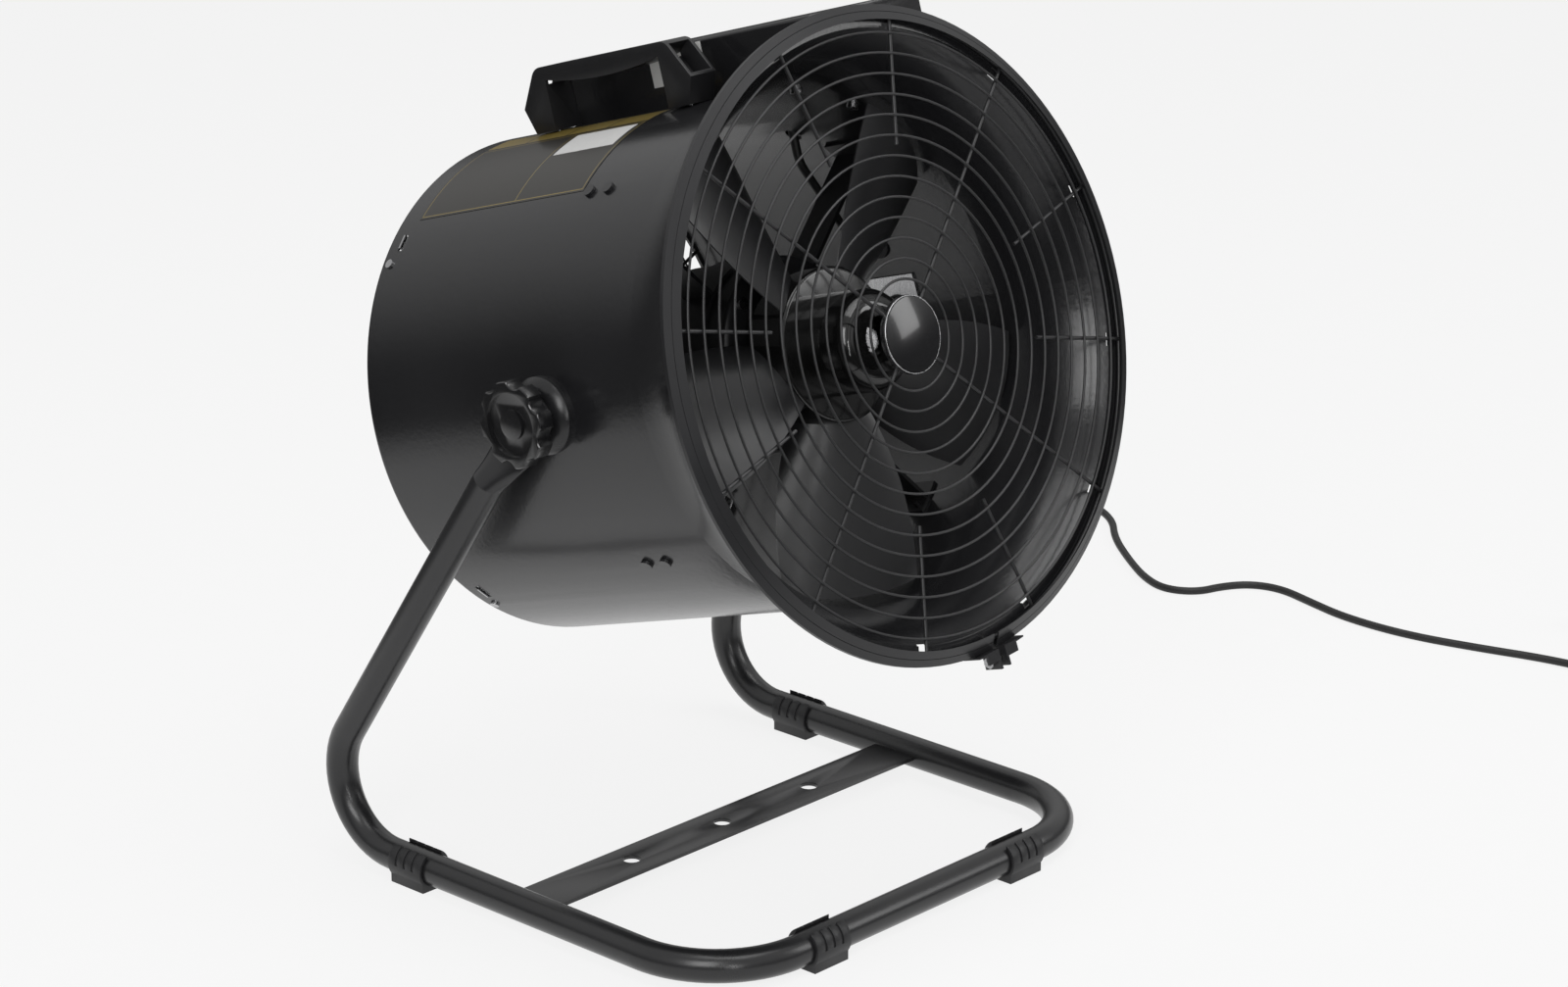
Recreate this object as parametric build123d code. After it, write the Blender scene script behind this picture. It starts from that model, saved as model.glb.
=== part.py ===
"""Stage effect fan: a tilting steel drum fan with wire guards on a bent tube floor stand.

Lengths are millimetres. The fan is drawn level, with its tilt axis on the X axis, the drum's
axis on the Y axis and the air leaving towards -Y. The drum is then tilted up and the whole
fan is set with its feet on Z = 0 and the middle of its footprint at X = Y = 0.
"""
from build123d import *
import os
from math import asin, atan2, cos, degrees, hypot, pi, radians, sin, sqrt, tan

# Stance
tilt_deg = 17.0
pivot_height = 398.0

# Drum
drum_r = 193.0
sheet = 1.5
drum_rear = 196.0
rear_roll_r = 5.0
flare_start = 102.0
flare_len = 80.1
flare_rise = 33.0
flange_w = 9.0
notch_w = 10.0
notch_depth = 3.5

# Clamp band round the front rim
band_stand = 14.0
band_front = 186.0
band_flat = 3.0
band_lip_h = 11.5
band_lip_run = 6.0
band_sheet = 1.3
band_gap_deg = -85.0
band_gap = 5.0
ear_h = 15.0
ear_w = 16.0
ear_t = 2.0
ear_base_l = 22.0
clamp_screw_r = 2.5

# Wire guards
guard_turn_deg = -12.7
ring_count = 13
ring_inset = 6.6
ring_step = 14.9
ring_wire_r = 1.0
spoke_wire_r = 1.4
hem_wire_r = 1.6
hem_stand = 6.5
short_spoke_end = 138.0
weld_bite = 0.3
badge_r = 29.0
badge_t = 4.0
badge_dome = 3.0
backplate_t = 1.2
rear_ring_count = 11
rear_ring_inset = 9.0
rear_ring_step = 15.5
rear_spokes = 8
rear_guard_y = 188.0

# Rear guard clips
clip_w = 12.0
clip_t = 1.6
clip_drop = 9.0
slot_w = 15.0
slot_h = 5.0
clip_screw_r = 2.0

# Impeller
blade_count = 5
blade_first_deg = -97.0
blade_tip_gap = 7.0
blade_overrun = 4.0
blade_t = 2.4
blade_mid_y = -97.0
blade_root_r = 50.0
blade_mid_r = 115.0
blade_chords = (60.0, 100.0, 108.0)
blade_pitch_deg = (36.0, 27.0, 19.0)
blade_camber = 7.0
hub_disc_r = 58.0
hub_disc_front = 116.0
hub_disc_len = 34.0
hub_boss_r = 38.0
hub_boss_len = 45.0
hub_edge_r = 14.0
hub_recess_r = 17.0
hub_recess_depth = 22.0
nut_t = 8.0

# Motor
motor_r = 71.0
motor_len = 92.0
motor_gap = 12.0
motor_wall = 2.0
shield_t = 6.0
shaft_r = 6.0
bearing_r = 14.0
bearing_w = 9.0
running_gap = 0.05
rotor_r = 36.0
rotor_len = 46.0
stator_bore_gap = 0.6
stator_len = 50.0
winding_r = 8.0
tie_bolt_r = 2.5
tie_bolt_pcr = 62.0

# Motor bracket
strap_w = 30.0
strap_t = 3.0
arm_t = 3.0
arm_y = -34.0
arm_deg = 42.0
foot_screw_z = 8.0
foot_w = 34.0
foot_t = 2.5
bracket_screw_r = 2.5

# Control box on top of the drum
box_left = 18.0
box_w = 120.0
box_rear = 130.0
box_front = 139.0
box_rise = 46.0
box_sheet = 1.2
box_gap = 0.4
box_corner_r = 3.0
box_screw_r = 2.5
box_screw_deg = (60.0, 78.0)
box_screw_y = 90.0
panel_t = 1.5

# Fittings on the control box
rocker_x = 38.0
rocker_rise = 24.0
rocker_w = 13.0
rocker_tall = 20.0
rocker_depth = 22.0
rocker_throw_deg = 16.0
switch_wall = 2.0
dial_x = 66.0
dial_r = 9.0
dial_len = 13.0
dial_shaft_r = 3.0
fuse_x = 32.0
fuse_rise = 34.0
fuse_r = 6.0
fuse_cap_r = 7.0
fuse_cap_len = 8.0
fuse_tube_len = 30.0
board_x = 66.0
board_y = 20.0
board_rise = 9.0
post_r = 2.5
board_w = 76.0
board_l = 90.0
board_t = 1.6
capacitor_r = 15.0
capacitor_l = 62.0
capacitor_y = -70.0

# Carrying handle
handle_left = -24.0
handle_w = 27.0
handle_mid = 43.5
handle_top_l = 146.0
handle_belly_l = 186.0
handle_base_l = 170.0
handle_rise = 50.0
handle_belly_rise = 20.6
handle_leg = 22.0
handle_corner_r = 12.0
grip_t = 10.5
grip_swell = 5.5
handle_wall = 3.0
handle_recess = 16.0
handle_screw_r = 2.5

# Stand
tube_r = 12.5
tube_wall = 2.0
stand_spread = 11.6
stand_front = 195.0
corner_r = 80.0
upright_deg = 55.5
rear_bend_r = 57.0
foot_ring_t = 3.0
foot_pad = 4.0
foot_len = 36.0
foot_mouth = 14.0
foot_ribs = 3
foot_front_inset = 104.0
foot_rear_y = 126.0
flat_stand = 10.0
flat_len = 30.0
flat_run = 34.0
flat_w = 36.0
bar_w = 42.0
bar_t = 3.0
bar_y = 10.0
bar_hole_r = 7.0
bar_hole_step = 100.0

# Tilt pivots
spacer_base_r = 29.0
spacer_top_r = 20.0
pivot_bolt_r = 4.0
bolt_head_r = 10.0
bolt_head_t = 4.0
plate_side = 50.0
plate_t = 2.0
knob_r = 32.0
knob_t = 13.0
knob_boss_r = 15.0
knob_boss_l = 7.0
knob_lobes = 8
knob_dish_r = 23.5
knob_dish_depth = 4.0
knob_flute_r = 9.0
knob_flute_depth = 4.0
slack = 0.3

# Mains cord
cord_r = 3.5
gland_h = 50.0
gland_flange_r = 9.5
gland_r = 7.5
gland_tip_r = 4.6
gland_len = 38.0
lead_r = 3.5
lead_x = 118.0
coil_out_r = 48.0
coil_pitch = 7.6
coil_layer = 7.6
coil_half_turns = 5
coil_lift = 1.1
coil_x = 829.0
coil_y = -344.0
lead_out_l = 50.0
tie_w = 9.0
tie_t = 0.8
tie_slack = 0.6
plug_r = 18.0
plug_l = 34.0
plug_neck_l = 24.0
plug_neck_r = 4.6
pin_r = 2.4
pin_l = 19.0
pin_step = 19.0

# Worked out from the sizes above
drum_in_r = drum_r - sheet
flare_r = (flare_rise ** 2 + flare_len ** 2) / (2 * flare_rise)
mouth_r = drum_r + flare_rise
band_r = mouth_r + band_stand
hem_r = mouth_r + hem_stand
ring_r_out = mouth_r - ring_inset
rear_ring_r_out = drum_r - rear_ring_inset
blade_tip_r = drum_r - blade_tip_gap
blade_radii = (blade_root_r, blade_mid_r, blade_tip_r + blade_overrun)
box_top = drum_r + box_rise
rocker_h = drum_r + rocker_rise
fuse_h = drum_r + fuse_rise
board_h = drum_r + board_rise
handle_top_h = drum_r + handle_rise
handle_belly_h = drum_r + handle_belly_rise
flat_x = drum_r + flat_stand
stand_half_w = flat_x + stand_spread
mouth_y = flare_start + flare_len
spoke_y = -(mouth_y + sheet + hem_wire_r + spoke_wire_r)
ring_y = spoke_y - spoke_wire_r - ring_wire_r + weld_bite
motor_front = hub_disc_front - hub_disc_len - motor_gap
motor_rear = motor_front - motor_len
nut_face = hub_disc_front + hub_boss_len - hub_recess_depth
tube_axis_z = tube_r + foot_pad
pivot_rise = pivot_height - tube_axis_z
upright_foot_y = pivot_rise / tan(radians(upright_deg))
flat_t = 2 * tube_wall
knob_x = flat_x + flat_t + slack
rocker_axis_y = box_rear - 2.0

tilt = radians(tilt_deg)


def turned(outline):
    """A solid turned round the Y axis from a closed outline of (radius, y) points."""
    return revolve(make_face(Polyline(*outline, close=True)), Axis.Y)


def rod(start, end, r):
    """A round bar between two points."""
    a, b = Vector(*start), Vector(*end)
    return extrude(Plane(origin=a, z_dir=b - a) * Circle(r), (b - a).length)


def disc(r, y0, y1, x=0.0, z=0.0):
    """A cylinder along Y."""
    return rod((x, y0, z), (x, y1, z), r)


def about_y(shape, angle_deg):
    """Turns a shape that lies along +X round the drum axis; positive is towards +Z."""
    return Rot(0, -angle_deg, 0) * shape


def block(x0, x1, y0, y1, z0, z1):
    """A box given by its limits."""
    centre = Pos((x0 + x1) / 2, (y0 + y1) / 2, (z0 + z1) / 2)
    return centre * Box(x1 - x0, y1 - y0, z1 - z0)


def on_drum(shape):
    """Tilts the drum's parts up and puts them at the pivot."""
    return Pos(0, 0, pivot_height) * Rot(-tilt_deg, 0, 0) * shape


def group(shapes):
    """Several separate solids as one sub-part."""
    return Compound(children=[solid for shape in shapes for solid in shape.solids()])


# Drum

def drum_body_solid(offset, rear):
    """Everything inside the drum's outer face moved out by an offset, from a rear end on."""
    r = drum_r + offset
    end_deg = degrees(asin(flare_len / flare_r))
    wall = Line((r, rear), (r, -flare_start))
    flare = CenterArc((drum_r + flare_r, -flare_start), flare_r - offset, 180, end_deg)
    tip = min((flare @ 0, flare @ 1), key=lambda point: point.Y)
    closing = Polyline((tip.X, tip.Y), (0, tip.Y), (0, rear), (r, rear))
    return revolve(make_face(wall + flare + closing), Axis.Y)


def drum_shell():
    inner_roll = rear_roll_r - sheet
    roll_y = drum_rear - rear_roll_r
    roll_r = drum_r - rear_roll_r
    outer = drum_body_solid(0, roll_y)
    inner = drum_body_solid(-sheet, roll_y)
    shell = outer - inner
    roll = Pos(roll_r, roll_y, 0) * (Circle(rear_roll_r) - Circle(inner_roll))
    quarter = Pos(roll_r + rear_roll_r / 2, roll_y + rear_roll_r / 2, 0)
    roll = roll & quarter * Rectangle(rear_roll_r, rear_roll_r)
    shell += revolve(roll, Axis.Y)
    flange = turned((
        (mouth_r - sheet, -mouth_y),
        (mouth_r + flange_w, -mouth_y),
        (mouth_r + flange_w, -mouth_y - sheet),
        (mouth_r - sheet, -mouth_y - sheet),
    ))
    shell += flange
    notch = block(mouth_r - 2 * sheet, mouth_r + notch_depth,
                  -mouth_y - 2 * sheet, -mouth_y + 2 * sheet, -notch_w / 2, notch_w / 2)
    for k in range(12):
        shell -= about_y(notch, guard_turn_deg + 30 * k)
    slot_y = rear_guard_y - clip_drop - clip_t / 2
    slot = block(drum_r - 9, drum_r + 9, slot_y - slot_h / 2, slot_y + slot_h / 2,
                 -slot_w / 2, slot_w / 2)
    for k in range(4):
        shell -= about_y(slot, 45 + 90 * k)
        shell -= about_y(rod((drum_r - 9, rear_guard_y - 4, 0), (drum_r + 9, rear_guard_y - 4, 0),
                             clip_screw_r), 45 + 90 * k + 5.5)
    for k in range(4):
        for y in screw_rows():
            shell -= about_y(rod((drum_r - 20, y, -foot_screw_z), (drum_r + 9, y, -foot_screw_z),
                                 bracket_screw_r + slack), arm_deg + 90 * k)
    for angle, y in box_holes():
        shell -= about_y(rod((drum_r - 9, y, 0), (drum_r + 9, y, 0), box_screw_r + slack), angle)
    for side in (-1, 1):
        shell -= rod((side * (drum_r - 9), 0, 0), (side * (drum_r + 9), 0, 0),
                     pivot_bolt_r + slack)
    for x, y in handle_screws_at():
        shell -= rod((x, y, drum_r - 9), (x, y, drum_r + 9), handle_screw_r + slack)
    gx, gz = gland_seat()
    shell -= rod((gx - 12, 0, gz), (gx + 12, 0, gz), gland_r - 1.5 + slack)
    lx, lz = lead_top()
    shell -= rod((lx, 0, lz - 12), (lx, 0, lz + 12), lead_r + 2 + slack)
    return shell


def screw_rows():
    """The Y places of the two screws in each bracket foot."""
    return (arm_y - foot_w / 2 + 7, arm_y + foot_w / 2 - 7)


# Front rim

def clamp_band():
    y0, y1 = -band_front, -band_front + band_flat
    inner = band_r - band_sheet
    tip_r = band_r - band_lip_h
    front_tip = y0 - band_lip_run
    rear_tip = y1 + band_lip_run
    skin = band_sheet * 1.05
    band = turned((
        (band_r, y0), (tip_r, front_tip), (tip_r, front_tip + skin), (inner, y0 + 0.3),
        (inner, y1 - 0.3), (tip_r, rear_tip - skin), (tip_r, rear_tip), (band_r, y1),
    ))
    groove_r = band_r - band_lip_h * 0.47
    groove_y = y0 - band_lip_run * 0.47
    band -= turned(((groove_r - 0.6, groove_y - 1.2), (groove_r + 0.6, groove_y - 0.6),
                    (groove_r, groove_y + 0.5)))
    gap = block(tip_r - 5, band_r + 5, front_tip - 5, rear_tip + 5, -band_gap / 2, band_gap / 2)
    band -= about_y(gap, band_gap_deg)
    mid_y = (y0 + y1) / 2
    for side in (-1, 1):
        near = side * (band_gap / 2 + 1)
        base = block(band_r - 0.4, band_r + ear_t, mid_y - ear_w / 2, mid_y + ear_w / 2,
                     min(near, near + side * ear_base_l), max(near, near + side * ear_base_l))
        base &= turned(((band_r - 1.5, -300), (band_r + ear_t, -300),
                        (band_r + ear_t, -100), (band_r - 1.5, -100)))
        ear = block(band_r, band_r + ear_h, mid_y - ear_w / 2, mid_y + ear_w / 2,
                    min(near, near + side * ear_t), max(near, near + side * ear_t))
        gusset = block(band_r, band_r + ear_h * 0.55, mid_y - ear_w / 2, mid_y - ear_w / 2 + ear_t,
                       min(near, near + side * ear_base_l * 0.6),
                       max(near, near + side * ear_base_l * 0.6))
        hole = rod((band_r + ear_h * 0.58, mid_y, -30), (band_r + ear_h * 0.58, mid_y, 30),
                   clamp_screw_r + slack)
        band += about_y(base + ear + gusset - hole, band_gap_deg)
    return band


def clamp_screw():
    mid_y = -band_front + band_flat / 2
    r = band_r + ear_h * 0.58
    side = band_gap / 2 + 1 + ear_t
    shank = rod((r, mid_y, -side - 6), (r, mid_y, side + 0.05), clamp_screw_r)
    head = rod((r, mid_y, side), (r, mid_y, side + 3.2), clamp_screw_r * 1.9)
    slot = block(r - 0.5, r + 0.5, mid_y - 8, mid_y + 8, side + 2.2, side + 6)
    return about_y(shank + head - slot, band_gap_deg)


def clamp_nut():
    mid_y = -band_front + band_flat / 2
    r = band_r + ear_h * 0.58
    side = band_gap / 2 + 1 + ear_t
    hexagon = Plane(origin=(r, mid_y, -side), z_dir=(0, 0, -1)) * RegularPolygon(4.6, 6)
    nut = extrude(hexagon, 4) - rod((r, mid_y, -30), (r, mid_y, 30), clamp_screw_r + 0.05)
    return about_y(nut, band_gap_deg)


# Guards

def wire_ring(r, y, wire_r):
    return Pos(0, y, 0) * Rot(90, 0, 0) * Torus(r, wire_r)


def front_guard():
    rings = [wire_ring(ring_r_out - ring_step * k, ring_y, ring_wire_r) for k in range(ring_count)]
    hem = wire_ring(hem_r, -(mouth_y + sheet + hem_wire_r), hem_wire_r)
    spokes = []
    for k in range(12):
        inner = 4.0 if k % 3 == 2 else short_spoke_end
        bar = rod((inner, spoke_y, 0), (hem_r, spoke_y, 0), spoke_wire_r)
        spokes.append(about_y(bar, guard_turn_deg + 30 * k))
    centre = disc(6.0, spoke_y - spoke_wire_r + 0.2, spoke_y + spoke_wire_r - 0.2)
    return hem.fuse(*rings, *spokes, centre)


def guard_badge():
    back = spoke_y - spoke_wire_r
    rim = back - badge_t
    dome_r = (badge_r ** 2 + badge_dome ** 2) / (2 * badge_dome)
    plate = disc(badge_r, back, rim)
    dome = Pos(0, rim - badge_dome + dome_r, 0) * Sphere(dome_r)
    dome &= disc(badge_r - 1.2, rim + 1, rim - badge_dome - 1)
    return plate + dome


def badge_backplate():
    front = spoke_y + spoke_wire_r
    return disc(badge_r - 3, front, front + backplate_t)


def rear_guard():
    rings = [wire_ring(rear_ring_r_out - rear_ring_step * k, rear_guard_y, ring_wire_r)
             for k in range(rear_ring_count)]
    y = rear_guard_y - ring_wire_r - spoke_wire_r + weld_bite
    inner = rear_ring_r_out - rear_ring_step * (rear_ring_count - 1) - ring_wire_r
    bar = rod((inner, y, 0), (rear_ring_r_out + ring_wire_r, y, 0), spoke_wire_r)
    spokes = [about_y(bar, 360 / rear_spokes * (k + 0.5)) for k in range(rear_spokes)]
    return rings[0].fuse(*rings[1:], *spokes)


def clip_place(k):
    return 45 + 90 * k


def rear_guard_clips():
    """Four bent tabs that hold the rear guard's rim and pass out through the drum's slots."""
    inner = rear_ring_r_out - clip_t / 2
    seat = rear_guard_y - ring_wire_r - slack
    low = rear_guard_y - clip_drop
    tab = block(inner, drum_r + 1.5, low - clip_t, low, -clip_w / 2, clip_w / 2)
    leg = block(inner, inner + clip_t, low - clip_t, seat, -clip_w / 2, clip_w / 2)
    return group([about_y(tab + leg, clip_place(k)) for k in range(4)])


def rear_guard_screws():
    """Four small screws in the drum wall beside the slots."""
    shank = rod((drum_in_r - 6, rear_guard_y - 4, 0), (drum_r + 0.1, rear_guard_y - 4, 0),
                clip_screw_r - 0.1)
    head = rod((drum_r, rear_guard_y - 4, 0), (drum_r + 1.6, rear_guard_y - 4, 0),
               clip_screw_r * 1.8)
    return group([about_y(shank + head, clip_place(k) + 5.5) for k in range(4)])


# Impeller

def blade_section(r, chord, pitch_deg):
    """One blade section, a thin cambered strip, in a plane at a radius from the axis."""
    plane = Plane(origin=(r, blade_mid_y, 0), x_dir=(0, 0, 1), z_dir=(1, 0, 0))
    half = chord / 2
    top = ThreePointArc((-half, 0), (0, blade_camber + blade_t), (half, 0))
    low = ThreePointArc((half, -blade_t * 0.4), (0, blade_camber), (-half, -blade_t * 0.4))
    strip = make_face(top + Line((half, 0), (half, -blade_t * 0.4)) + low
                      + Line((-half, -blade_t * 0.4), (-half, 0)))
    return plane * Rot(0, 0, pitch_deg) * strip


def blade_shape():
    stations = zip(blade_radii, blade_chords, blade_pitch_deg)
    sections = [blade_section(*station) for station in stations]
    return loft(sections)


def fan_blade(k):
    trim = disc(blade_tip_r, -300, 300) - disc(hub_disc_r + 0.03, -300, 300)
    return about_y(blade_shape(), blade_first_deg + 360 / blade_count * k) & trim


def fan_hub():
    y_disc = -hub_disc_front
    y_rear = y_disc + hub_disc_len
    y_nose = y_disc - hub_boss_len
    disc_part = disc(hub_disc_r, y_disc, y_rear)
    disc_part = fillet(disc_part.edges().group_by(Axis.Y)[0], 3)
    boss = disc(hub_boss_r, y_disc + 1, y_nose)
    boss = fillet(boss.edges().group_by(Axis.Y)[0], hub_edge_r)
    hub = disc_part + boss
    hub -= disc(hub_disc_r - 4, y_rear + 1, y_rear - hub_disc_len + 6)
    hub += disc(shaft_r + 8, y_disc + 1, y_rear - 6)
    hub -= disc(hub_recess_r, y_nose - 1, y_nose + hub_recess_depth)
    hub -= disc(shaft_r + running_gap / 2, -300, y_rear + 1)
    return hub


def hub_nut():
    y = -nut_face
    washer = disc(shaft_r + 6, y, y - 1.6)
    nut = extrude(Plane(origin=(0, y - 1.6, 0), z_dir=(0, -1, 0)) * RegularPolygon(9.5, 6), nut_t)
    return washer + nut - disc(shaft_r + 0.05, -300, 300)


# Motor

def motor_shell():
    y0, y1 = -motor_front + shield_t, -motor_rear - shield_t
    return disc(motor_r, y0, y1) - disc(motor_r - motor_wall, y0 - 1, y1 + 1)


def end_shield(face_y, inward):
    """A motor end shield; inward is +1 or -1 along Y, towards the middle of the motor."""
    seat = face_y + inward * shield_t
    shield = disc(motor_r, face_y, seat)
    edge = shield.edges().sort_by(Axis.Y)[0 if inward > 0 else -1]
    shield = fillet(edge, 4)
    boss = disc(bearing_r + 6, seat - inward * 0.5, face_y + inward * (bearing_w + 7))
    shield += boss
    shield -= disc(bearing_r, face_y + inward * 7, face_y + inward * (bearing_w + 8))
    shield -= disc(shaft_r + 1, face_y - inward * 5, face_y + inward * 40)
    for k in range(4):
        a = radians(45 + 90 * k)
        x, z = tie_bolt_pcr * cos(a), tie_bolt_pcr * sin(a)
        shield -= disc(tie_bolt_r + 0.2, face_y - inward * 5, face_y + inward * 20, x, z)
    return shield


def front_shield():
    return end_shield(-motor_front, 1)


def rear_shield():
    return end_shield(-motor_rear, -1)


def bearing(face_y, inward):
    a = face_y + inward * 7
    b = a + inward * bearing_w
    return disc(bearing_r - 0.02, min(a, b), max(a, b)) - disc(shaft_r + running_gap, -300, 300)


def motor_shaft():
    return disc(shaft_r, -motor_rear - 3, -nut_face - 1.6 - nut_t - 1)


def rotor_core():
    mid = -(motor_front + motor_rear) / 2
    core = disc(rotor_r, mid - rotor_len / 2, mid + rotor_len / 2)
    return core - disc(shaft_r, -300, 300)


def stator_core():
    mid = -(motor_front + motor_rear) / 2
    core = disc(motor_r - motor_wall, mid - stator_len / 2, mid + stator_len / 2)
    core -= disc(rotor_r + stator_bore_gap, -300, 300)
    for k in range(4):
        a = radians(45 + 90 * k)
        core -= disc(tie_bolt_r + 0.4, -300, 300, tie_bolt_pcr * cos(a), tie_bolt_pcr * sin(a))
    return core


def stator_windings():
    """The end turns that stand out of both faces of the stator."""
    mid = -(motor_front + motor_rear) / 2
    rings = []
    for side in (-1, 1):
        y = mid + side * (stator_len / 2 + winding_r * 0.5)
        ring = wire_ring(rotor_r + 3 + winding_r, y, winding_r)
        edge = mid + side * stator_len / 2
        keep = block(-200, 200, min(edge, edge + side * 40), max(edge, edge + side * 40), -200, 200)
        rings.append(ring & keep)
    return group(rings)


def motor_tie_bolts():
    bolts = []
    for k in range(4):
        a = radians(45 + 90 * k)
        x, z = tie_bolt_pcr * cos(a), tie_bolt_pcr * sin(a)
        shank = disc(tie_bolt_r, -motor_front - 0.1, -motor_rear + 4, x, z)
        head = disc(tie_bolt_r * 1.8, -motor_front, -motor_front - 3, x, z)
        nut = disc(tie_bolt_r * 1.8, -motor_rear, -motor_rear + 3, x, z)
        bolts.append(shank + head + nut)
    return group(bolts)


def motor_bracket():
    """A strap round the motor with four arms to feet on the drum's inner wall."""
    y0, y1 = arm_y - strap_w / 2, arm_y + strap_w / 2
    strap = disc(motor_r + strap_t, y0, y1) - disc(motor_r + 0.05, y0 - 1, y1 + 1)
    bracket = strap
    foot_out = drum_in_r - 0.05
    for k in range(4):
        arm = block(motor_r + strap_t - 0.5, foot_out - foot_t / 2, y0, y1, -arm_t / 2, arm_t / 2)
        foot = turned(((foot_out - foot_t, arm_y - foot_w / 2), (foot_out, arm_y - foot_w / 2),
                       (foot_out, arm_y + foot_w / 2), (foot_out - foot_t, arm_y + foot_w / 2)))
        foot &= block(0, 300, -300, 300, -14, 14)
        for y in screw_rows():
            foot -= rod((drum_in_r - 20, y, -foot_screw_z), (drum_in_r + 20, y, -foot_screw_z),
                        bracket_screw_r + 0.1)
        bracket += about_y(arm + foot, arm_deg + 90 * k)
    return bracket


def bracket_screws():
    """Eight screws through the drum wall into the bracket's feet."""
    screws = []
    reach = sqrt(drum_r ** 2 - (foot_screw_z - bracket_screw_r * 1.9) ** 2)
    z = -foot_screw_z
    for k in range(4):
        for y in screw_rows():
            shank = rod((reach - 9, y, z), (reach + 0.6, y, z), bracket_screw_r)
            head = rod((reach + 0.1, y, z), (reach + 2.4, y, z), bracket_screw_r * 1.9)
            screws.append(about_y(shank + head, arm_deg + 90 * k))
    return group(screws)


# Control box

def box_block(inset):
    """The box's outer block, less a wall on every side but the bottom."""
    return block(box_left + inset, box_left + box_w - inset, -box_front + inset, box_rear,
                 drum_r / 2, box_top - inset)


def box_holes():
    """The ways of the four box screws, as (angle, y)."""
    return [(angle, y) for angle in box_screw_deg for y in (-box_screw_y, box_screw_y)]


def control_box():
    outer = box_block(0)
    outer = fillet(outer.edges().filter_by(Axis.Y).group_by(Axis.Z)[-1], box_corner_r)
    skin = outer - drum_body_solid(box_gap, 300)
    hollow = box_block(box_sheet) - drum_body_solid(box_gap + box_sheet, 300)
    box = skin - hollow
    for angle, y in box_holes():
        box -= about_y(rod((drum_r - 3, y, 0), (drum_r + 9, y, 0), box_screw_r), angle)
    box -= disc(fuse_r + slack, -box_front - 5, -box_front + 5, fuse_x, fuse_h)
    lx, lz = lead_top()
    box -= rod((lx, 0, lz - 3), (lx, 0, lz + 12), lead_r + 2 + slack)
    for x, y in board_posts():
        box += rod((x, y, drum_r / 2), (x, y, board_h), post_r) - drum_body_solid(box_gap, 300)
    return box


def control_panel():
    """The plate that closes the rear end of the box and carries the switch and the dial."""
    panel = block(box_left + box_sheet + 0.1, box_left + box_w - box_sheet - 0.1,
                  box_rear - panel_t, box_rear, drum_r / 2, box_top - box_sheet - 0.1)
    panel -= drum_body_solid(box_gap + box_sheet + 0.1, 300)
    hole_w, hole_h = rocker_w + 2 * switch_wall, rocker_tall + 2 * switch_wall
    panel -= block(rocker_x - hole_w / 2, rocker_x + hole_w / 2, box_rear - 9, box_rear + 9,
                   rocker_h - hole_h / 2, rocker_h + hole_h / 2)
    panel -= disc(dial_shaft_r + 1.5, box_rear - 9, box_rear + 9, dial_x, rocker_h)
    return panel


def box_screws():
    screws = []
    for angle, y in box_holes():
        shank = rod((drum_in_r - 0.1, y, 0), (drum_r + 8, y, 0), box_screw_r - 0.1)
        head = rod((drum_in_r - 3, y, 0), (drum_in_r - 0.1, y, 0), box_screw_r * 1.9)
        screws.append(about_y(shank + head, angle))
    return group(screws)


def board_posts():
    xs = (board_x - board_w / 2 + 5, board_x + board_w / 2 - 5)
    ys = (board_y - board_l / 2 + 5, board_y + board_l / 2 - 5)
    return [(x, y) for x in xs for y in ys]


def control_board():
    x0, x1 = board_x - board_w / 2, board_x + board_w / 2
    y0, y1 = board_y - board_l / 2, board_y + board_l / 2
    z = board_h + 0.02
    board = block(x0, x1, y0, y1, z, z + board_t)
    heatsink = block(x0 + 8, x0 + 32, y0 + 8, y0 + 40, z + board_t - 0.1, z + 18)
    relay = block(x1 - 26, x1 - 8, y1 - 40, y1 - 12, z + board_t - 0.1, z + 14)
    return board + heatsink + relay


def run_capacitor():
    wall = box_left + box_w - box_sheet
    x = wall - slack - capacitor_r
    z = sqrt((drum_r + box_gap + box_sheet) ** 2 - (x - capacitor_r) ** 2) + capacitor_r + 1
    can = disc(capacitor_r, capacitor_y - capacitor_l / 2, capacitor_y + capacitor_l / 2, x, z)
    return can + disc(2.5, capacitor_y - capacitor_l / 2 - 6, capacitor_y, x, z)


def power_switch():
    w, h = rocker_w / 2 + switch_wall - 0.1, rocker_tall / 2 + switch_wall - 0.1
    body = block(rocker_x - w, rocker_x + w, box_rear - rocker_depth, box_rear + 0.5,
                 rocker_h - h, rocker_h + h)
    bezel = block(rocker_x - w - 1.5, rocker_x + w + 1.5, box_rear, box_rear + 1.5,
                  rocker_h - h - 1.5, rocker_h + h + 1.5)
    well = block(rocker_x - rocker_w / 2, rocker_x + rocker_w / 2, rocker_axis_y - 6,
                 box_rear + 9, rocker_h - rocker_tall / 2, rocker_h + rocker_tall / 2)
    pin = rod((rocker_x - w, rocker_axis_y, rocker_h), (rocker_x + w, rocker_axis_y, rocker_h), 1.0)
    return body + bezel - well + pin


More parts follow.
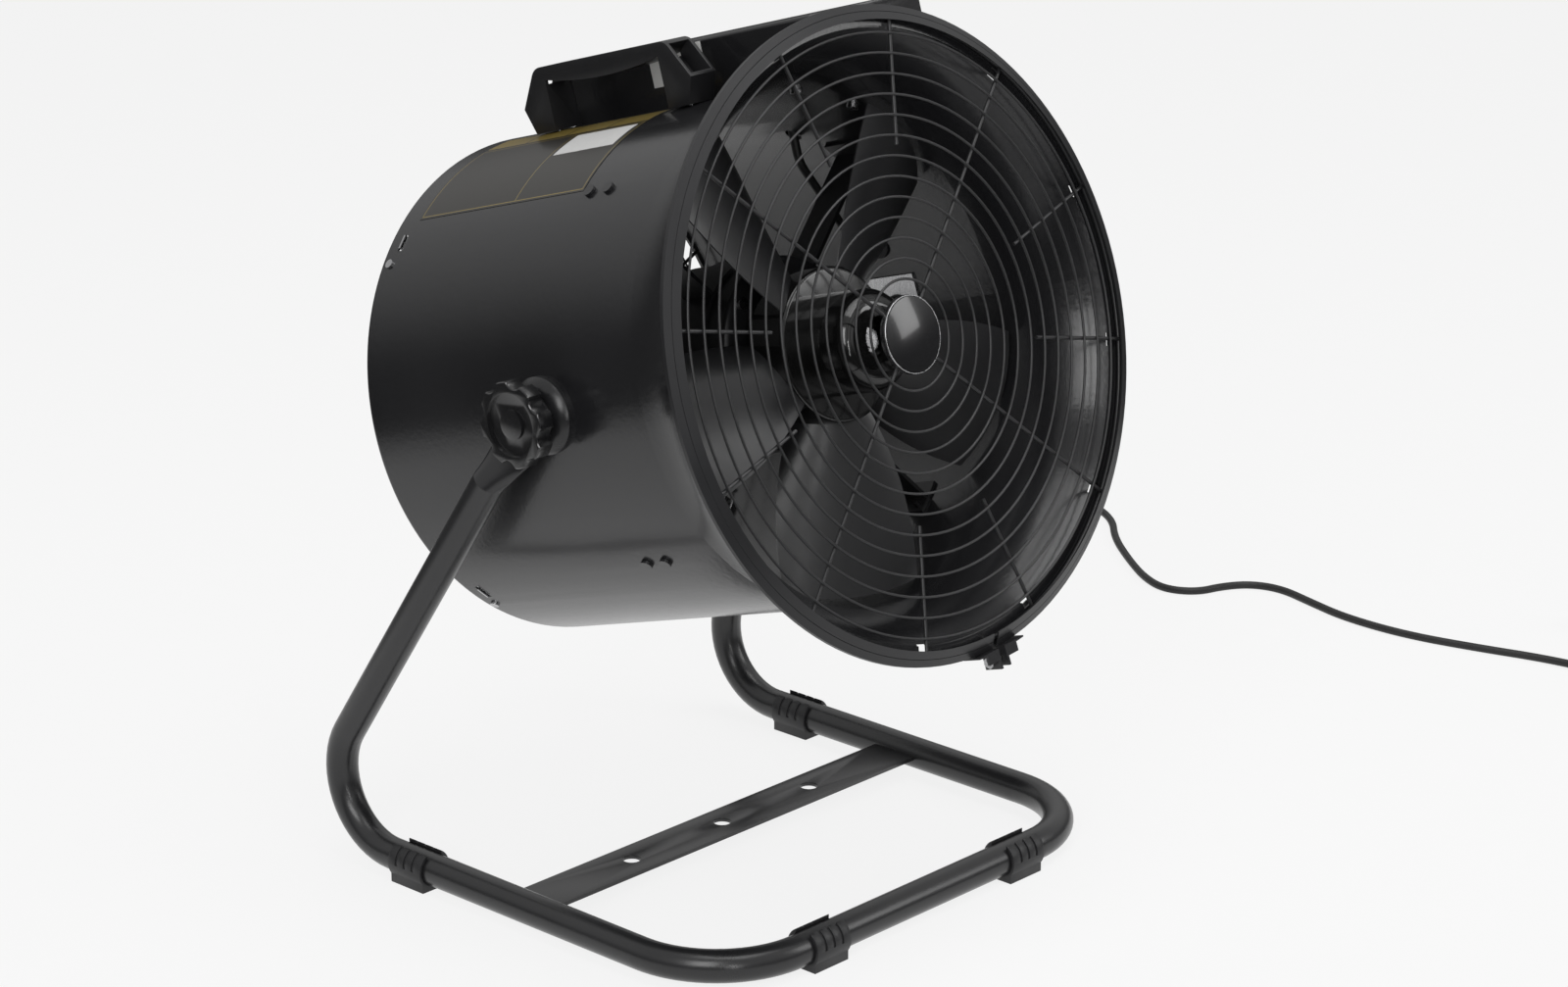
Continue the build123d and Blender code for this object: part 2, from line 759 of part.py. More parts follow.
def switch_rocker():
    """The rocker, a bent bar on its pin, resting with its lower end pressed in."""
    half = rocker_tall / 2 - 1.2
    shape = make_face(Polyline((-half, 5.0), (0, 3.2), (half, 5.0), (half - 2.5, -3.5),
                               (2.5 - half, -3.5), close=True))
    width = rocker_w - 2 * slack
    side = Plane(origin=(-width / 2, 0, 0), x_dir=(0, 0, -1), z_dir=(1, 0, 0))
    bar = extrude(side * shape, width)
    bar -= rod((-width, 0, 0), (width, 0, 0), 1.0 + running_gap)
    return Pos(rocker_x, rocker_axis_y, rocker_h) * Rot(rocker_throw_deg / 2, 0, 0) * bar


def speed_control():
    """The speed control's round body behind the panel, with its fixed bush."""
    body = disc(8.5, box_rear - panel_t - 12, box_rear - panel_t - 0.05, dial_x, rocker_h)
    bush = disc(dial_shaft_r + 1.4, box_rear - panel_t - 0.5, box_rear + 2.0, dial_x, rocker_h)
    bore = disc(dial_shaft_r + running_gap, box_rear - 10, box_rear + 9, dial_x, rocker_h)
    return body + bush - bore


def speed_dial():
    y0 = box_rear + 2.0 + slack
    knob = disc(dial_r, y0, y0 + dial_len, dial_x, rocker_h)
    knob = chamfer(knob.edges().group_by(Axis.Y)[-1], 1.0)
    shaft = disc(dial_shaft_r, box_rear - 9.5, y0 + 1, dial_x, rocker_h)
    mark = block(dial_x - 0.6, dial_x + 0.6, y0 + dial_len - 0.8, y0 + dial_len + 1,
                 rocker_h, rocker_h + dial_r + 1)
    return knob + shaft - mark


def fuse_holder():
    y = -box_front
    tube = disc(fuse_r, y - 0.05, y + fuse_tube_len, fuse_x, fuse_h)
    flange = disc(fuse_r + 1.5, y - 1.5, y - 0.05, fuse_x, fuse_h)
    bore = disc(fuse_r - 1.5, y - 9, y + fuse_tube_len - 2, fuse_x, fuse_h)
    nut = disc(fuse_r + 3, y + box_sheet + 0.1, y + box_sheet + 4, fuse_x, fuse_h)
    return tube + flange + nut - bore


def fuse_cap():
    y = -box_front - 1.5 - slack
    cap = disc(fuse_cap_r, y - fuse_cap_len, y, fuse_x, fuse_h)
    cap = fillet(cap.edges().group_by(Axis.Y)[0], 2.0)
    plug = disc(fuse_r - 1.5 - slack, y - 1, y + 12, fuse_x, fuse_h)
    slot = block(fuse_x - 4.5, fuse_x + 4.5, y - fuse_cap_len - 1, y - fuse_cap_len + 1.2,
                 fuse_h - 0.6, fuse_h + 0.6)
    return cap + plug - slot


# Carrying handle

def handle_ends(length):
    return handle_mid - length / 2, handle_mid + length / 2


def handle_screws_at():
    x = handle_left + handle_w / 2
    front, rear = handle_ends(handle_base_l)
    return ((x, front + handle_leg / 2), (x, rear - handle_leg / 2))


def handle_seat():
    """The height of the handle's flat feet, just clear of the top of the drum."""
    return drum_r + box_gap


def carrying_handle():
    seat = handle_seat()
    top_a, top_b = handle_ends(handle_top_l)
    belly_a, belly_b = handle_ends(handle_belly_l)
    base_a, base_b = handle_ends(handle_base_l)
    plane = Plane(origin=(handle_left, 0, 0), x_dir=(0, 1, 0), z_dir=(1, 0, 0))
    outline = make_face(Polyline((base_a, seat), (belly_a, handle_belly_h), (top_a, handle_top_h),
                                 (top_b, handle_top_h), (belly_b, handle_belly_h), (base_b, seat),
                                 close=True))
    handle = extrude(plane * outline, handle_w)
    top = handle.edges().filter_by(Axis.X).group_by(Axis.Z)[-1]
    handle = fillet(top, handle_corner_r)
    gap_a, gap_b = base_a + handle_leg, base_b - handle_leg
    under = handle_top_h - grip_t
    arch = (Line((gap_a, seat - 1), (gap_a, under))
            + ThreePointArc((gap_a, under), (handle_mid, under - grip_swell), (gap_b, under))
            + Line((gap_b, under), (gap_b, seat - 1)) + Line((gap_b, seat - 1), (gap_a, seat - 1)))
    opening = extrude(plane * make_face(arch), handle_w)
    handle -= opening
    rise = handle_top_h - handle_belly_h
    for side, top_y, belly_y in ((-1, top_a, belly_a), (1, top_b, belly_b)):
        run = top_y - belly_y
        face_l = hypot(run, rise)
        lean = degrees(atan2(-side * run, rise))
        pocket = Box(handle_w - 2 * handle_wall, 2 * handle_recess, face_l - 2 * handle_wall)
        place = Pos(handle_left + handle_w / 2, (top_y + belly_y) / 2,
                    (handle_top_h + handle_belly_h) / 2)
        handle -= place * Rot(side * lean, 0, 0) * pocket
    for x, y in handle_screws_at():
        handle -= rod((x, y, seat - 1), (x, y, seat + 14), handle_screw_r)
    return handle


def handle_screws():
    screws = []
    for x, y in handle_screws_at():
        wall = sqrt(drum_in_r ** 2 - x ** 2)
        shank = rod((x, y, wall - 1), (x, y, handle_seat() + 12), handle_screw_r - 0.1)
        head = rod((x, y, wall - 4), (x, y, wall - 0.9), handle_screw_r * 1.9)
        screws.append(shank + head)
    return group(screws)


# Tilt pivots

def pivot_spacer(side):
    """The domed spacer between the drum's side and the stand's flattened end."""
    inner = sqrt(drum_r ** 2 - spacer_base_r ** 2) - 1
    outer = flat_x - slack
    profile = make_face(Line((inner, 0), (inner, spacer_base_r))
                        + Line((inner, spacer_base_r), (drum_r + 3, spacer_base_r))
                        + ThreePointArc((drum_r + 3, spacer_base_r), (outer - 2.4, spacer_top_r + 5.0),
                                        (outer, spacer_top_r))
                        + Line((outer, spacer_top_r), (outer, 0)) + Line((outer, 0), (inner, 0)))
    spacer = revolve(profile, Axis.X)
    spacer -= disc(drum_r + 0.03, -100, 100)
    spacer -= rod((0, 0, 0), (300, 0, 0), pivot_bolt_r + 0.1)
    return spacer if side > 0 else mirror(spacer, Plane.YZ)


def pivot_plate(side):
    """The curved plate inside the drum wall that spreads the pivot bolt's load."""
    outer = drum_in_r - 0.03
    plate = disc(outer, -plate_side / 2, plate_side / 2)
    plate -= disc(outer - plate_t, -plate_side, plate_side)
    plate &= block(0, 300, -100, 100, -plate_side / 2, plate_side / 2)
    plate -= rod((0, 0, 0), (300, 0, 0), pivot_bolt_r + 0.1)
    return plate if side > 0 else mirror(plate, Plane.YZ)


def pivot_bolt(side):
    seat = drum_in_r - plate_t - 1.0
    head = rod((seat - bolt_head_t, 0, 0), (seat, 0, 0), bolt_head_r)
    head = fillet(head.edges().group_by(Axis.X)[0], 2.5)
    head += rod((seat - 0.5, 0, 0), (drum_in_r - plate_t - 0.2, 0, 0), pivot_bolt_r + 2)
    bolt = head + rod((seat, 0, 0), (knob_x + knob_boss_l + knob_t - 7, 0, 0), pivot_bolt_r)
    return bolt if side > 0 else mirror(bolt, Plane.YZ)


def tilt_knob(side):
    """A lobed clamping knob, threaded on the pivot bolt."""
    face = knob_x + knob_boss_l
    boss = rod((knob_x, 0, 0), (face + 1, 0, 0), knob_boss_r)
    head = rod((face, 0, 0), (face + knob_t, 0, 0), knob_r)
    for k in range(knob_lobes):
        a = radians(360 / knob_lobes * (k + 0.5))
        r = knob_r + knob_flute_r - knob_flute_depth
        cut = rod((face - 1, r * cos(a), r * sin(a)), (face + knob_t + 1, r * cos(a), r * sin(a)),
                  knob_flute_r)
        head -= cut
    head = chamfer(head.edges().group_by(Axis.X)[-1], 0.8)
    dish = rod((face + knob_t - knob_dish_depth, 0, 0), (face + knob_t + 1, 0, 0), knob_dish_r)
    dish -= rod((face + knob_t - knob_dish_depth, 0, 0), (face + knob_t - 1.0, 0, 0), 11)
    knob = boss + head - dish
    knob -= rod((knob_x - 1, 0, 0), (knob_x + knob_boss_l + knob_t - 6, 0, 0),
                pivot_bolt_r + running_gap)
    return knob if side > 0 else mirror(knob, Plane.YZ)


# Stand

def down(distance, x=0.0):
    """A point on the upright's line at a distance below the pivot."""
    a = radians(upright_deg)
    return (x, distance * cos(a), pivot_height - distance * sin(a))


def stand_tube():
    start = flat_len + flat_run
    corners = [
        down(start, stand_half_w),
        (stand_half_w, upright_foot_y, tube_axis_z),
        (stand_half_w, -stand_front, tube_axis_z),
        (-stand_half_w, -stand_front, tube_axis_z),
        (-stand_half_w, upright_foot_y, tube_axis_z),
        down(start, -stand_half_w),
    ]
    path = FilletPolyline(*corners, radius=[rear_bend_r, corner_r, corner_r, rear_bend_r])
    mouth = Plane(origin=path @ 0, z_dir=path % 0)
    tube = sweep(mouth * Circle(tube_r), path=path)
    along = Vector(*down(1)) - Vector(*down(0))
    ends = []
    for side in (-1, 1):
        mid = side * (flat_x + flat_t / 2)
        low = Plane(origin=Vector(*down(start, side * stand_half_w)), x_dir=(1, 0, 0),
                    z_dir=along)
        high = Plane(origin=Vector(*down(flat_len, mid)), x_dir=(1, 0, 0), z_dir=along)
        crush = loft([high * RectangleRounded(flat_t, flat_w, flat_t * 0.3), low * Circle(tube_r)])
        pad = Plane(origin=(mid - flat_t / 2, 0, pivot_height), x_dir=along, z_dir=(1, 0, 0))
        shape = Pos(flat_len / 2, 0) * Rectangle(flat_len, flat_w) + Circle(flat_w / 2)
        flat = extrude(pad * shape, flat_t)
        flat -= rod((mid - 20, 0, pivot_height), (mid + 20, 0, pivot_height), pivot_bolt_r + slack)
        ends.append(crush + flat)
    bore = sweep(mouth * Circle(tube_r - tube_wall), path=path)
    return tube + ends[0] + ends[1] - bore


def cross_bar():
    reach = stand_half_w - tube_r + 1
    bar = block(-reach, reach, bar_y - bar_w / 2, bar_y + bar_w / 2,
                tube_axis_z - bar_t / 2, tube_axis_z + bar_t / 2)
    for side in (-1, 1):
        x = side * stand_half_w
        bar -= rod((x, bar_y - bar_w, tube_axis_z), (x, bar_y + bar_w, tube_axis_z), tube_r + 0.03)
    for k in (-1, 0, 1):
        x = k * bar_hole_step
        bar -= rod((x, bar_y, tube_axis_z - 9), (x, bar_y, tube_axis_z + 9), bar_hole_r)
    return bar


def clip_foot():
    """One clip-on foot, drawn round a tube along X with its sole on Z = 0."""
    outer_r = tube_r + foot_ring_t
    half = foot_len / 2
    ring = rod((-half, 0, tube_axis_z), (half, 0, tube_axis_z), outer_r)
    sole = block(-half, half, -outer_r * 0.8, outer_r * 0.8, 0, tube_axis_z)
    foot = ring + sole
    foot &= block(-half, half, -60, 60, 0, 90)
    foot -= rod((-half - 1, 0, tube_axis_z), (half + 1, 0, tube_axis_z), tube_r + 0.05)
    foot -= block(-half - 1, half + 1, -foot_mouth / 2, foot_mouth / 2, tube_axis_z, 90)
    rib_step = foot_len / (foot_ribs + 1)
    groove = rod((-1.2, 0, tube_axis_z), (1.2, 0, tube_axis_z), outer_r + 5)
    groove -= rod((-2, 0, tube_axis_z), (2, 0, tube_axis_z), outer_r - 1.2)
    groove -= block(-2, 2, -60, 60, -30, tube_axis_z)
    for k in range(foot_ribs):
        foot -= Pos(rib_step * (k + 1) - half, 0, 0) * groove
    return foot


def front_foot(side):
    return Pos(side * (stand_half_w - foot_front_inset), -stand_front, 0) * clip_foot()


def rear_foot(side):
    return Pos(side * stand_half_w, foot_rear_y, 0) * Rot(0, 0, 90) * clip_foot()


# Mains cord

def gland_seat():
    """Where the cord's gland stands on the drum's right side, as (x, z) in the drum's frame."""
    return sqrt(drum_r ** 2 - gland_h ** 2), gland_h


def lead_top():
    """Where the inner lead passes up through the drum wall into the box, as (x, z)."""
    return lead_x, sqrt(drum_r ** 2 - lead_x ** 2)


def cord_gland():
    gx, gz = gland_seat()
    body = rod((gx - 6, 0, gz), (gx + 6, 0, gz), gland_r - 1.5)
    flange = rod((gx + 3, 0, gz), (gx + 8, 0, gz), gland_flange_r)
    flange += rod((gx - 4, 0, gz), (gx + 4, 0, gz), gland_flange_r) - disc(drum_r + 0.03, -50, 50)
    nut = rod((gx - 9.5, 0, gz), (gx - 5, 0, gz), gland_flange_r - 1)
    cone_plane = Plane(origin=(gx + 8, 0, gz), z_dir=(1, 0, 0))
    tip_plane = Plane(origin=(gx + gland_len, 0, gz), z_dir=(1, 0, 0))
    cone = loft([cone_plane * Circle(gland_r), tip_plane * Circle(gland_tip_r)])
    return body + flange + nut + cone


def inner_lead():
    """The lead inside the drum, from the gland up into the control box."""
    gx, gz = gland_seat()
    lx, lz = lead_top()
    path = FilletPolyline((gx - 9.6, 0, gz), (gx - 24, 0, gz), (lx, 0, lz - 24), (lx, 0, lz + 20),
                          radius=[14, 30])
    return sweep(Plane(origin=path @ 0, z_dir=path % 0) * Circle(lead_r), path=path)


def gland_tip():
    """The cord's first point, at the gland's tip with the drum in its resting tilt."""
    gx, gz = gland_seat()
    return (gx + gland_len, gz * sin(tilt), pivot_height + gz * cos(tilt))


def cord_points():
    """The cord's route from the gland to its coil; Y is measured from the pivot."""
    x, y, z = gland_tip()
    floor = cord_r
    lay = cord_r + coil_lift
    start_x = coil_x - coil_out_r
    return [
        (x, y, z), (x + 42, y, z), (x + 88, y + 38, z - 22), (x + 122, y + 98, z - 62),
        (x + 143, y + 163, z - 118), (x + 156, y + 226, z - 186), (x + 170, y + 284, z - 256),
        (x + 186, y + 338, z - 322), (434, 398, 60), (481, 427, 20), (541, 441, floor),
        (620, 447, floor), (700, 437, floor), (770, 409, floor), (820, 364, floor),
        (834, 318, floor), (812, 272, floor), (770, 236, floor), (730, 186, floor),
        (702, 146, floor), (690, 114, floor), (704, 87, floor), (733, 79, floor),
        (755, 63, floor), (763, 35, floor), (753, -3, floor), (741, -52, floor),
        (742, -118, floor), (758, -182, floor), (776, -240, floor),
        (start_x, coil_y + 50, lay), (start_x, coil_y + 2 * cord_r, lay),
    ]


def cord_radii(points):
    """Each corner's radius: 0.45 of the shorter run beside it over the tangent of half its turn."""
    radii = []
    for a, b, c in zip(points, points[1:], points[2:]):
        before, after = Vector(*b) - Vector(*a), Vector(*c) - Vector(*b)
        turn = radians(before.get_angle(after))
        radii.append(0.45 * min(before.length, after.length) / tan(turn / 2))
    return radii


def mains_cord():
    points = cord_points()
    radii = cord_radii(points)
    print("cord radii", [round(r) for r in radii])
    path = FilletPolyline(*points, radius=radii)
    print("cord length", round(path.length), "volume should be", round(path.length * pi * cord_r ** 2))
    return sweep(Plane(origin=path @ 0, z_dir=path % 0) * Circle(cord_r), path=path)


def coil_edges():
    """The coil's half turns in its own frame: in along the floor, up a layer, and out again."""
    low, high = cord_r + coil_lift, cord_r + coil_lift + coil_layer
    step = coil_pitch / 2
    edges = [Line((coil_out_r, -2 * cord_r, low), (coil_out_r, 0, low))]
    x, side, r, z = coil_out_r, 1, coil_out_r, low
    for k in range(2 * coil_half_turns + 1):
        end = x - side * 2 * r
        mid = (x + end) / 2
        if k == coil_half_turns:
            top = hypot(r, coil_layer / 2)
            knee = (mid, side * top, low + coil_layer / 2)
            edges.append(quarter_arc((x, 0, low), knee, (0, side, 0)))
            edges.append(quarter_arc((end, 0, high), knee, (0, side, 0)))
            z = high
        else:
            edges.append(ThreePointArc((x, 0, z), (mid, side * r, z), (end, 0, z)))
        r += -step if k < coil_half_turns else step
        x, side = end, -side
    rise = plug_r - high
    run = lead_out_l
    bend_r = (run ** 2 + rise ** 2) / (4 * rise)
    half = (x, side * run / 2, high + rise / 2)
    sag = asin(run / (2 * bend_r)) / 2
    low_mid = (x, side * bend_r * sin(sag), high + bend_r * (1 - cos(sag)))
    high_mid = (x, side * (run - bend_r * sin(sag)), plug_r - bend_r * (1 - cos(sag)))
    edges.append(ThreePointArc((x, 0, high), low_mid, half))
    edges.append(ThreePointArc(half, high_mid, (x, side * run, plug_r)))
    edges.append(Line((x, side * run, plug_r), (x, side * (run + 2 * cord_r), plug_r)))
    return edges, (x, side * (run + 2 * cord_r))


def quarter_arc(start, knee, tangent):
    """A quarter turn that leaves a point along a tangent and ends at the knee."""
    a, b, t = Vector(*start), Vector(*knee), Vector(*tangent)
    along = (b - a).dot(t)
    across = (b - a) - t * along
    middle = a + t * (along * sin(pi / 4)) + across * (1 - cos(pi / 4))
    return ThreePointArc(a, middle, b)


def coil_gap(edges):
    """The least gap between turns, on points a few millimetres apart along the coil."""
    points, places, run = [], [], 0.0
    for edge in edges:
        count = max(2, int(edge.length / 3))
        for k in range(count):
            points.append(edge @ (k / count))
            places.append(run + edge.length * k / count)
        run += edge.length
    least = 1e9
    for i, a in enumerate(points):
        for j in range(i + 1, len(points)):
            if places[j] - places[i] > 8 * cord_r:
                least = min(least, (points[j] - a).length)
    return least - 2 * cord_r


def at_coil(shape):
    """Puts what is drawn in the coil's own frame where the coil lies."""
    return Pos(coil_x, coil_y, 0) * Rot(0, 0, 180) * shape


def ordered(edges):
    """The coil's edges with every arc running onwards, so that points follow the cord."""
    line = []
    last = edges[0] @ 1
    line.append(edges[0])
    for edge in edges[1:]:
        if ((edge @ 0) - last).length > 0.01:
            edge = edge.reversed()
        line.append(edge)
        last = edge @ 1
    return line


def cord_coil():
    edges, _ = coil_edges()
    line = ordered(edges)
    print("coil gap", round(coil_gap(line), 2), "coil length", round(sum(e.length for e in line)))
    path = Wire(line)
    coil = sweep(Plane(origin=path @ 0, z_dir=path % 0) * Circle(cord_r), path=path)
    return at_coil(coil)


def cord_tie():
    """The strap that holds the coil's turns together."""
    inner = coil_out_r - coil_pitch * (coil_half_turns + 1) / 2 - cord_r - tie_slack
    outer = coil_out_r + cord_r + tie_slack
    top = 2 * cord_r + coil_lift + coil_layer + slack
    base = tie_t
    hollow = block(inner, outer, -tie_w, tie_w, base, top)
    strap = block(inner - tie_t, outer + tie_t, -tie_w / 2, tie_w / 2, 0, top + tie_t)
    strap = fillet(strap.edges().filter_by(Axis.Y), 1.5)
    hollow = fillet(hollow.edges().filter_by(Axis.Y), 0.8)
    return at_coil(strap - hollow)


def plug_frame(shape):
    """Puts what is drawn along +Y from the cord's end where the plug lies."""
    _, (x, y) = coil_edges()
    turn = 0 if y > 0 else 180
    return at_coil(Pos(x, y, plug_r) * Rot(0, 0, turn) * shape)


def plug_body():
    """The plug's moulded body and its tapered neck."""
    neck = turned(((0, 0), (plug_neck_r, 0), (plug_neck_r + 3, plug_neck_l), (0, plug_neck_l)))
    body = disc(plug_r, plug_neck_l - 0.01, plug_neck_l + plug_l)
    body = fillet(body.edges().group_by(Axis.Y)[0], 6)
    body -= block(-60, 60, plug_neck_l + plug_l - 14, plug_neck_l + plug_l + 1, plug_r - 3, 60)
    body -= block(-60, 60, plug_neck_l + plug_l - 14, plug_neck_l + plug_l + 1, -60, 3 - plug_r)
    return plug_frame(neck + body)


def plug_pins():
    y = plug_neck_l + plug_l
    pins = []
    for side in (-1, 1):
        pin = disc(pin_r, y, y + pin_l, side * pin_step / 2)
        pins.append(fillet(pin.edges().group_by(Axis.Y)[-1], 1.2))
    return plug_frame(group(pins))


def sub_parts():
    """Every sub-part under its name, in place."""
    drum = {
        "drum_shell": drum_shell(),
        "clamp_band": clamp_band(),
        "clamp_screw": clamp_screw(),
        "clamp_nut": clamp_nut(),
        "front_guard": front_guard(),
        "guard_badge": guard_badge(),
        "badge_backplate": badge_backplate(),
        "rear_guard": rear_guard(),
        "rear_guard_clips": rear_guard_clips(),
        "rear_guard_screws": rear_guard_screws(),
        "fan_hub": fan_hub(),
        "hub_nut": hub_nut(),
        "motor_shell": motor_shell(),
        "motor_front_shield": front_shield(),
        "motor_rear_shield": rear_shield(),
        "motor_bearings": group([bearing(-motor_front, 1), bearing(-motor_rear, -1)]),
        "motor_shaft": motor_shaft(),
        "rotor_core": rotor_core(),
        "stator_core": stator_core(),
        "stator_windings": stator_windings(),
        "motor_tie_bolts": motor_tie_bolts(),
        "motor_bracket": motor_bracket(),
        "bracket_screws": bracket_screws(),
        "control_box": control_box(),
        "control_panel": control_panel(),
        "box_screws": box_screws(),
        "control_board": control_board(),
        "run_capacitor": run_capacitor(),
        "power_switch": power_switch(),
        "switch_rocker": switch_rocker(),
        "speed_control": speed_control(),
        "speed_dial": speed_dial(),
        "fuse_holder": fuse_holder(),
        "fuse_cap": fuse_cap(),
        "carrying_handle": carrying_handle(),
        "handle_screws": handle_screws(),
        "cord_gland": cord_gland(),
        "inner_lead": inner_lead(),
        "pivot_plates": group([pivot_plate(-1), pivot_plate(1)]),
        "pivot_bolts": group([pivot_bolt(-1), pivot_bolt(1)]),
    }
    for k in range(blade_count):
        drum[f"fan_blade_{k + 1}"] = fan_blade(k)
    for name, side in (("left", -1), ("right", 1)):
        drum[f"pivot_spacer_{name}"] = pivot_spacer(side)
        drum[f"tilt_knob_{name}"] = tilt_knob(side)
    stand = {
        "stand_tube": stand_tube(),
        "cross_bar": cross_bar(),
        "front_feet": group([front_foot(-1), front_foot(1)]),
        "rear_feet": group([rear_foot(-1), rear_foot(1)]),
    }
    cord = {
        "mains_cord": mains_cord(),
        "cord_coil": cord_coil(),
        "cord_tie": cord_tie(),
        "plug_body": plug_body(),
        "plug_pins": plug_pins(),
    }
    fan = {name: on_drum(shape) for name, shape in drum.items()} | stand
    boxes = [shape.bounding_box(optimal=True) for shape in fan.values()]
    front = min(box.min.Y for box in boxes)
    rear = max(box.max.Y for box in boxes)
    centred = Pos(0, -(front + rear) / 2, 0)
    print("pivot Y", round(-(front + rear) / 2, 4))
    return {name: centred * shape for name, shape in (fan | cord).items()}


os.makedirs("parts", exist_ok=True)
for name, shape in sub_parts().items():
    export_step(shape, f"parts/{name}.step")
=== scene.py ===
"""Stage effect fan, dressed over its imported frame: paint, plastics, labels, cord and studio.

Lengths are metres in the part's own frame, with the air leaving towards -Y and the floor at Z = 0.
"""
from math import cos, pi, radians, sin

import bpy
from mathutils import Matrix, Vector


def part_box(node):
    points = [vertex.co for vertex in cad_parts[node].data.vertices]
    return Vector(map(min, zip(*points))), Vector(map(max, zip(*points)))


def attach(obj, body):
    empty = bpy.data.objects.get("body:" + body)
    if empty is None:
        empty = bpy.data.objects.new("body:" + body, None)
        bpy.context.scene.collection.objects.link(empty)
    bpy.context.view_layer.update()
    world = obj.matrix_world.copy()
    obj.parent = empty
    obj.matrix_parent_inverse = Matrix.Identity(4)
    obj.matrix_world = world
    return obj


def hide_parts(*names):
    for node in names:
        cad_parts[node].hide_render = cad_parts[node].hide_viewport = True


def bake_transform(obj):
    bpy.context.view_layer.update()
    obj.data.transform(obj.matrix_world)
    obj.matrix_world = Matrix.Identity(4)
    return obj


bl_info = {
    "name": "Stage Effect Fan",
    "version": (1, 0, 0),
    "blender": (4, 5, 0),
    "location": "View3D > Sidebar > Fan",
    "description": "Dresses the drum fan with its paint, plastics, labels, cord and studio",
    "category": "Object",
}

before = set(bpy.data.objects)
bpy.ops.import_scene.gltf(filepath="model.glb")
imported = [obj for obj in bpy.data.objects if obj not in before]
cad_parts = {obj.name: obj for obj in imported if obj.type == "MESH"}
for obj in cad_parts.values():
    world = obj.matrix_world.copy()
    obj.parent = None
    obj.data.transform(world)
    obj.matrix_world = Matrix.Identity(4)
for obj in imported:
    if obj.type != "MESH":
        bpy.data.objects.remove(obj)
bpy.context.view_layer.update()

MM = 0.001
PIVOT = Vector((0.0, 7.94 * MM, 398 * MM))
TILT = Matrix.Rotation(radians(-17), 4, "X")
DRUM = Matrix.Translation(PIVOT) @ TILT

# The lead's way from the gland's tip to the coil, in mm
CORD_ROUTE = (
    (224.41, 22.56, 445.82), (266.41, 22.56, 445.82), (312.41, 60.56, 423.82),
    (346.41, 120.56, 383.82), (367.41, 185.56, 327.82), (380.41, 248.56, 259.82),
    (394.41, 306.56, 189.82), (410.41, 360.56, 123.82), (434, 405.94, 60), (481, 434.94, 20),
    (541, 448.94, 3.5), (620, 454.94, 3.5), (700, 444.94, 3.5), (770, 416.94, 3.5),
    (820, 371.94, 3.5), (834, 325.94, 3.5), (812, 279.94, 3.5), (770, 243.94, 3.5),
    (730, 193.94, 3.5), (702, 153.94, 3.5), (690, 121.94, 3.5), (704, 94.94, 3.5),
    (733, 86.94, 3.5), (755, 70.94, 3.5), (763, 42.94, 3.5), (753, 4.94, 3.5),
    (741, -44.06, 3.5), (742, -110.06, 3.5), (758, -174.06, 3.5), (776, -232.06, 3.5),
    (781, -286.06, 4.6), (781, -329.06, 4.6),
)
# The coil in mm: where its half turns cross the line along X through its middle, and the
# heights of its two layers. Half turn COIL_CLIMB rises from the lower to the upper one.
COIL_MIDDLE = (829, -336.06)
COIL_CROSSINGS = (48, -48, 40.4, -40.4, 32.8, -32.8, 25.2, -40.4, 32.8, -48, 40.4, -55.6)
COIL_LOW, COIL_HIGH = 4.6, 12.2
COIL_CLIMB = 5
COIL_STEPS = 8
# The way from the coil to the plug, in mm from the coil's middle
PLUG_LEAD = ((-55.6, -14, 12.6), (-55.6, -27, 15.2), (-55.6, -40, 17.8), (-55.6, -57, 18))

# The gland: bore and tip, then its ribs in mm of radius, and where one rib's top, foot and
# groove lie in parts of a rib's pitch. GLAND_FOOT is its flange, in mm of radius and height.
GLAND_LENGTH, SLEEVE_LENGTH = 38 * MM, 26 * MM
GLAND_BORE_R, GLAND_TIP_R = 3.6 * MM, 4.6 * MM
GLAND_BORE_FOOT = 0.5 * MM
RIB_SMALL_R, RIB_GROWTH = 4.7, 2.3
RIB_DEPTH, RIB_SLOPE = 0.9 * MM, 0.3 * MM
RIB_TOP, RIB_FOOT, GROOVE_END = 0.15, 0.72, 1.1
GLAND_FOOT = ((7.5, 9), (7.5, 4.2), (8.9, 3.9), (9.5, 3.2), (9.5, -2.6), (3.6, -2.6), (3.6, 0.5))

# The badge: its radius, then its back, front edge and crown along the drum's axis
BADGE_R = 29 * MM
BADGE_BACK, BADGE_FRONT, BADGE_CROWN = -187.9 * MM, -191.9 * MM, -194.9 * MM
BADGE_THICKENING, BADGE_STANDOFF = 0.4 * MM, 1 * MM
BADGE_RINGS = 8
RIM_GAP, RIM_CORNER, RIM_CHAMFER = 0.2 * MM, 0.6 * MM, 0.4 * MM

# Where the bare panel lies on the drum: y from front to rear, then degrees from +X
PANEL_R = 193.06 * MM
PANEL = (-15 * MM, 171 * MM, 94.5, 129.0)
PANEL_SPLIT = 62 * MM
PANEL_BAND_DEG = 8.2
PANEL_BLOCKS = 4
PANEL_STEPS = 40
# How far its lines are set in and how soft their edges are, in line widths
LINE_INSET, LINE_SOFTNESS = 2.2, 0.15
# The blank label on it: its gaps to the panel's front and to the divider, then its degrees
LABEL_FRONT_GAP, LABEL_SPLIT_GAP = 7 * MM, 4 * MM
LABEL_ANGLES = (104.2, 113.4)
LABEL_STEPS = 16
# The blank label on the box
BOX_LABEL_FACE, BOX_LABEL_Y, BOX_LABEL_Z = 18 * MM, 5 * MM, 223 * MM
BOX_LABEL_LENGTH, BOX_LABEL_WIDTH = 58 * MM, 28 * MM

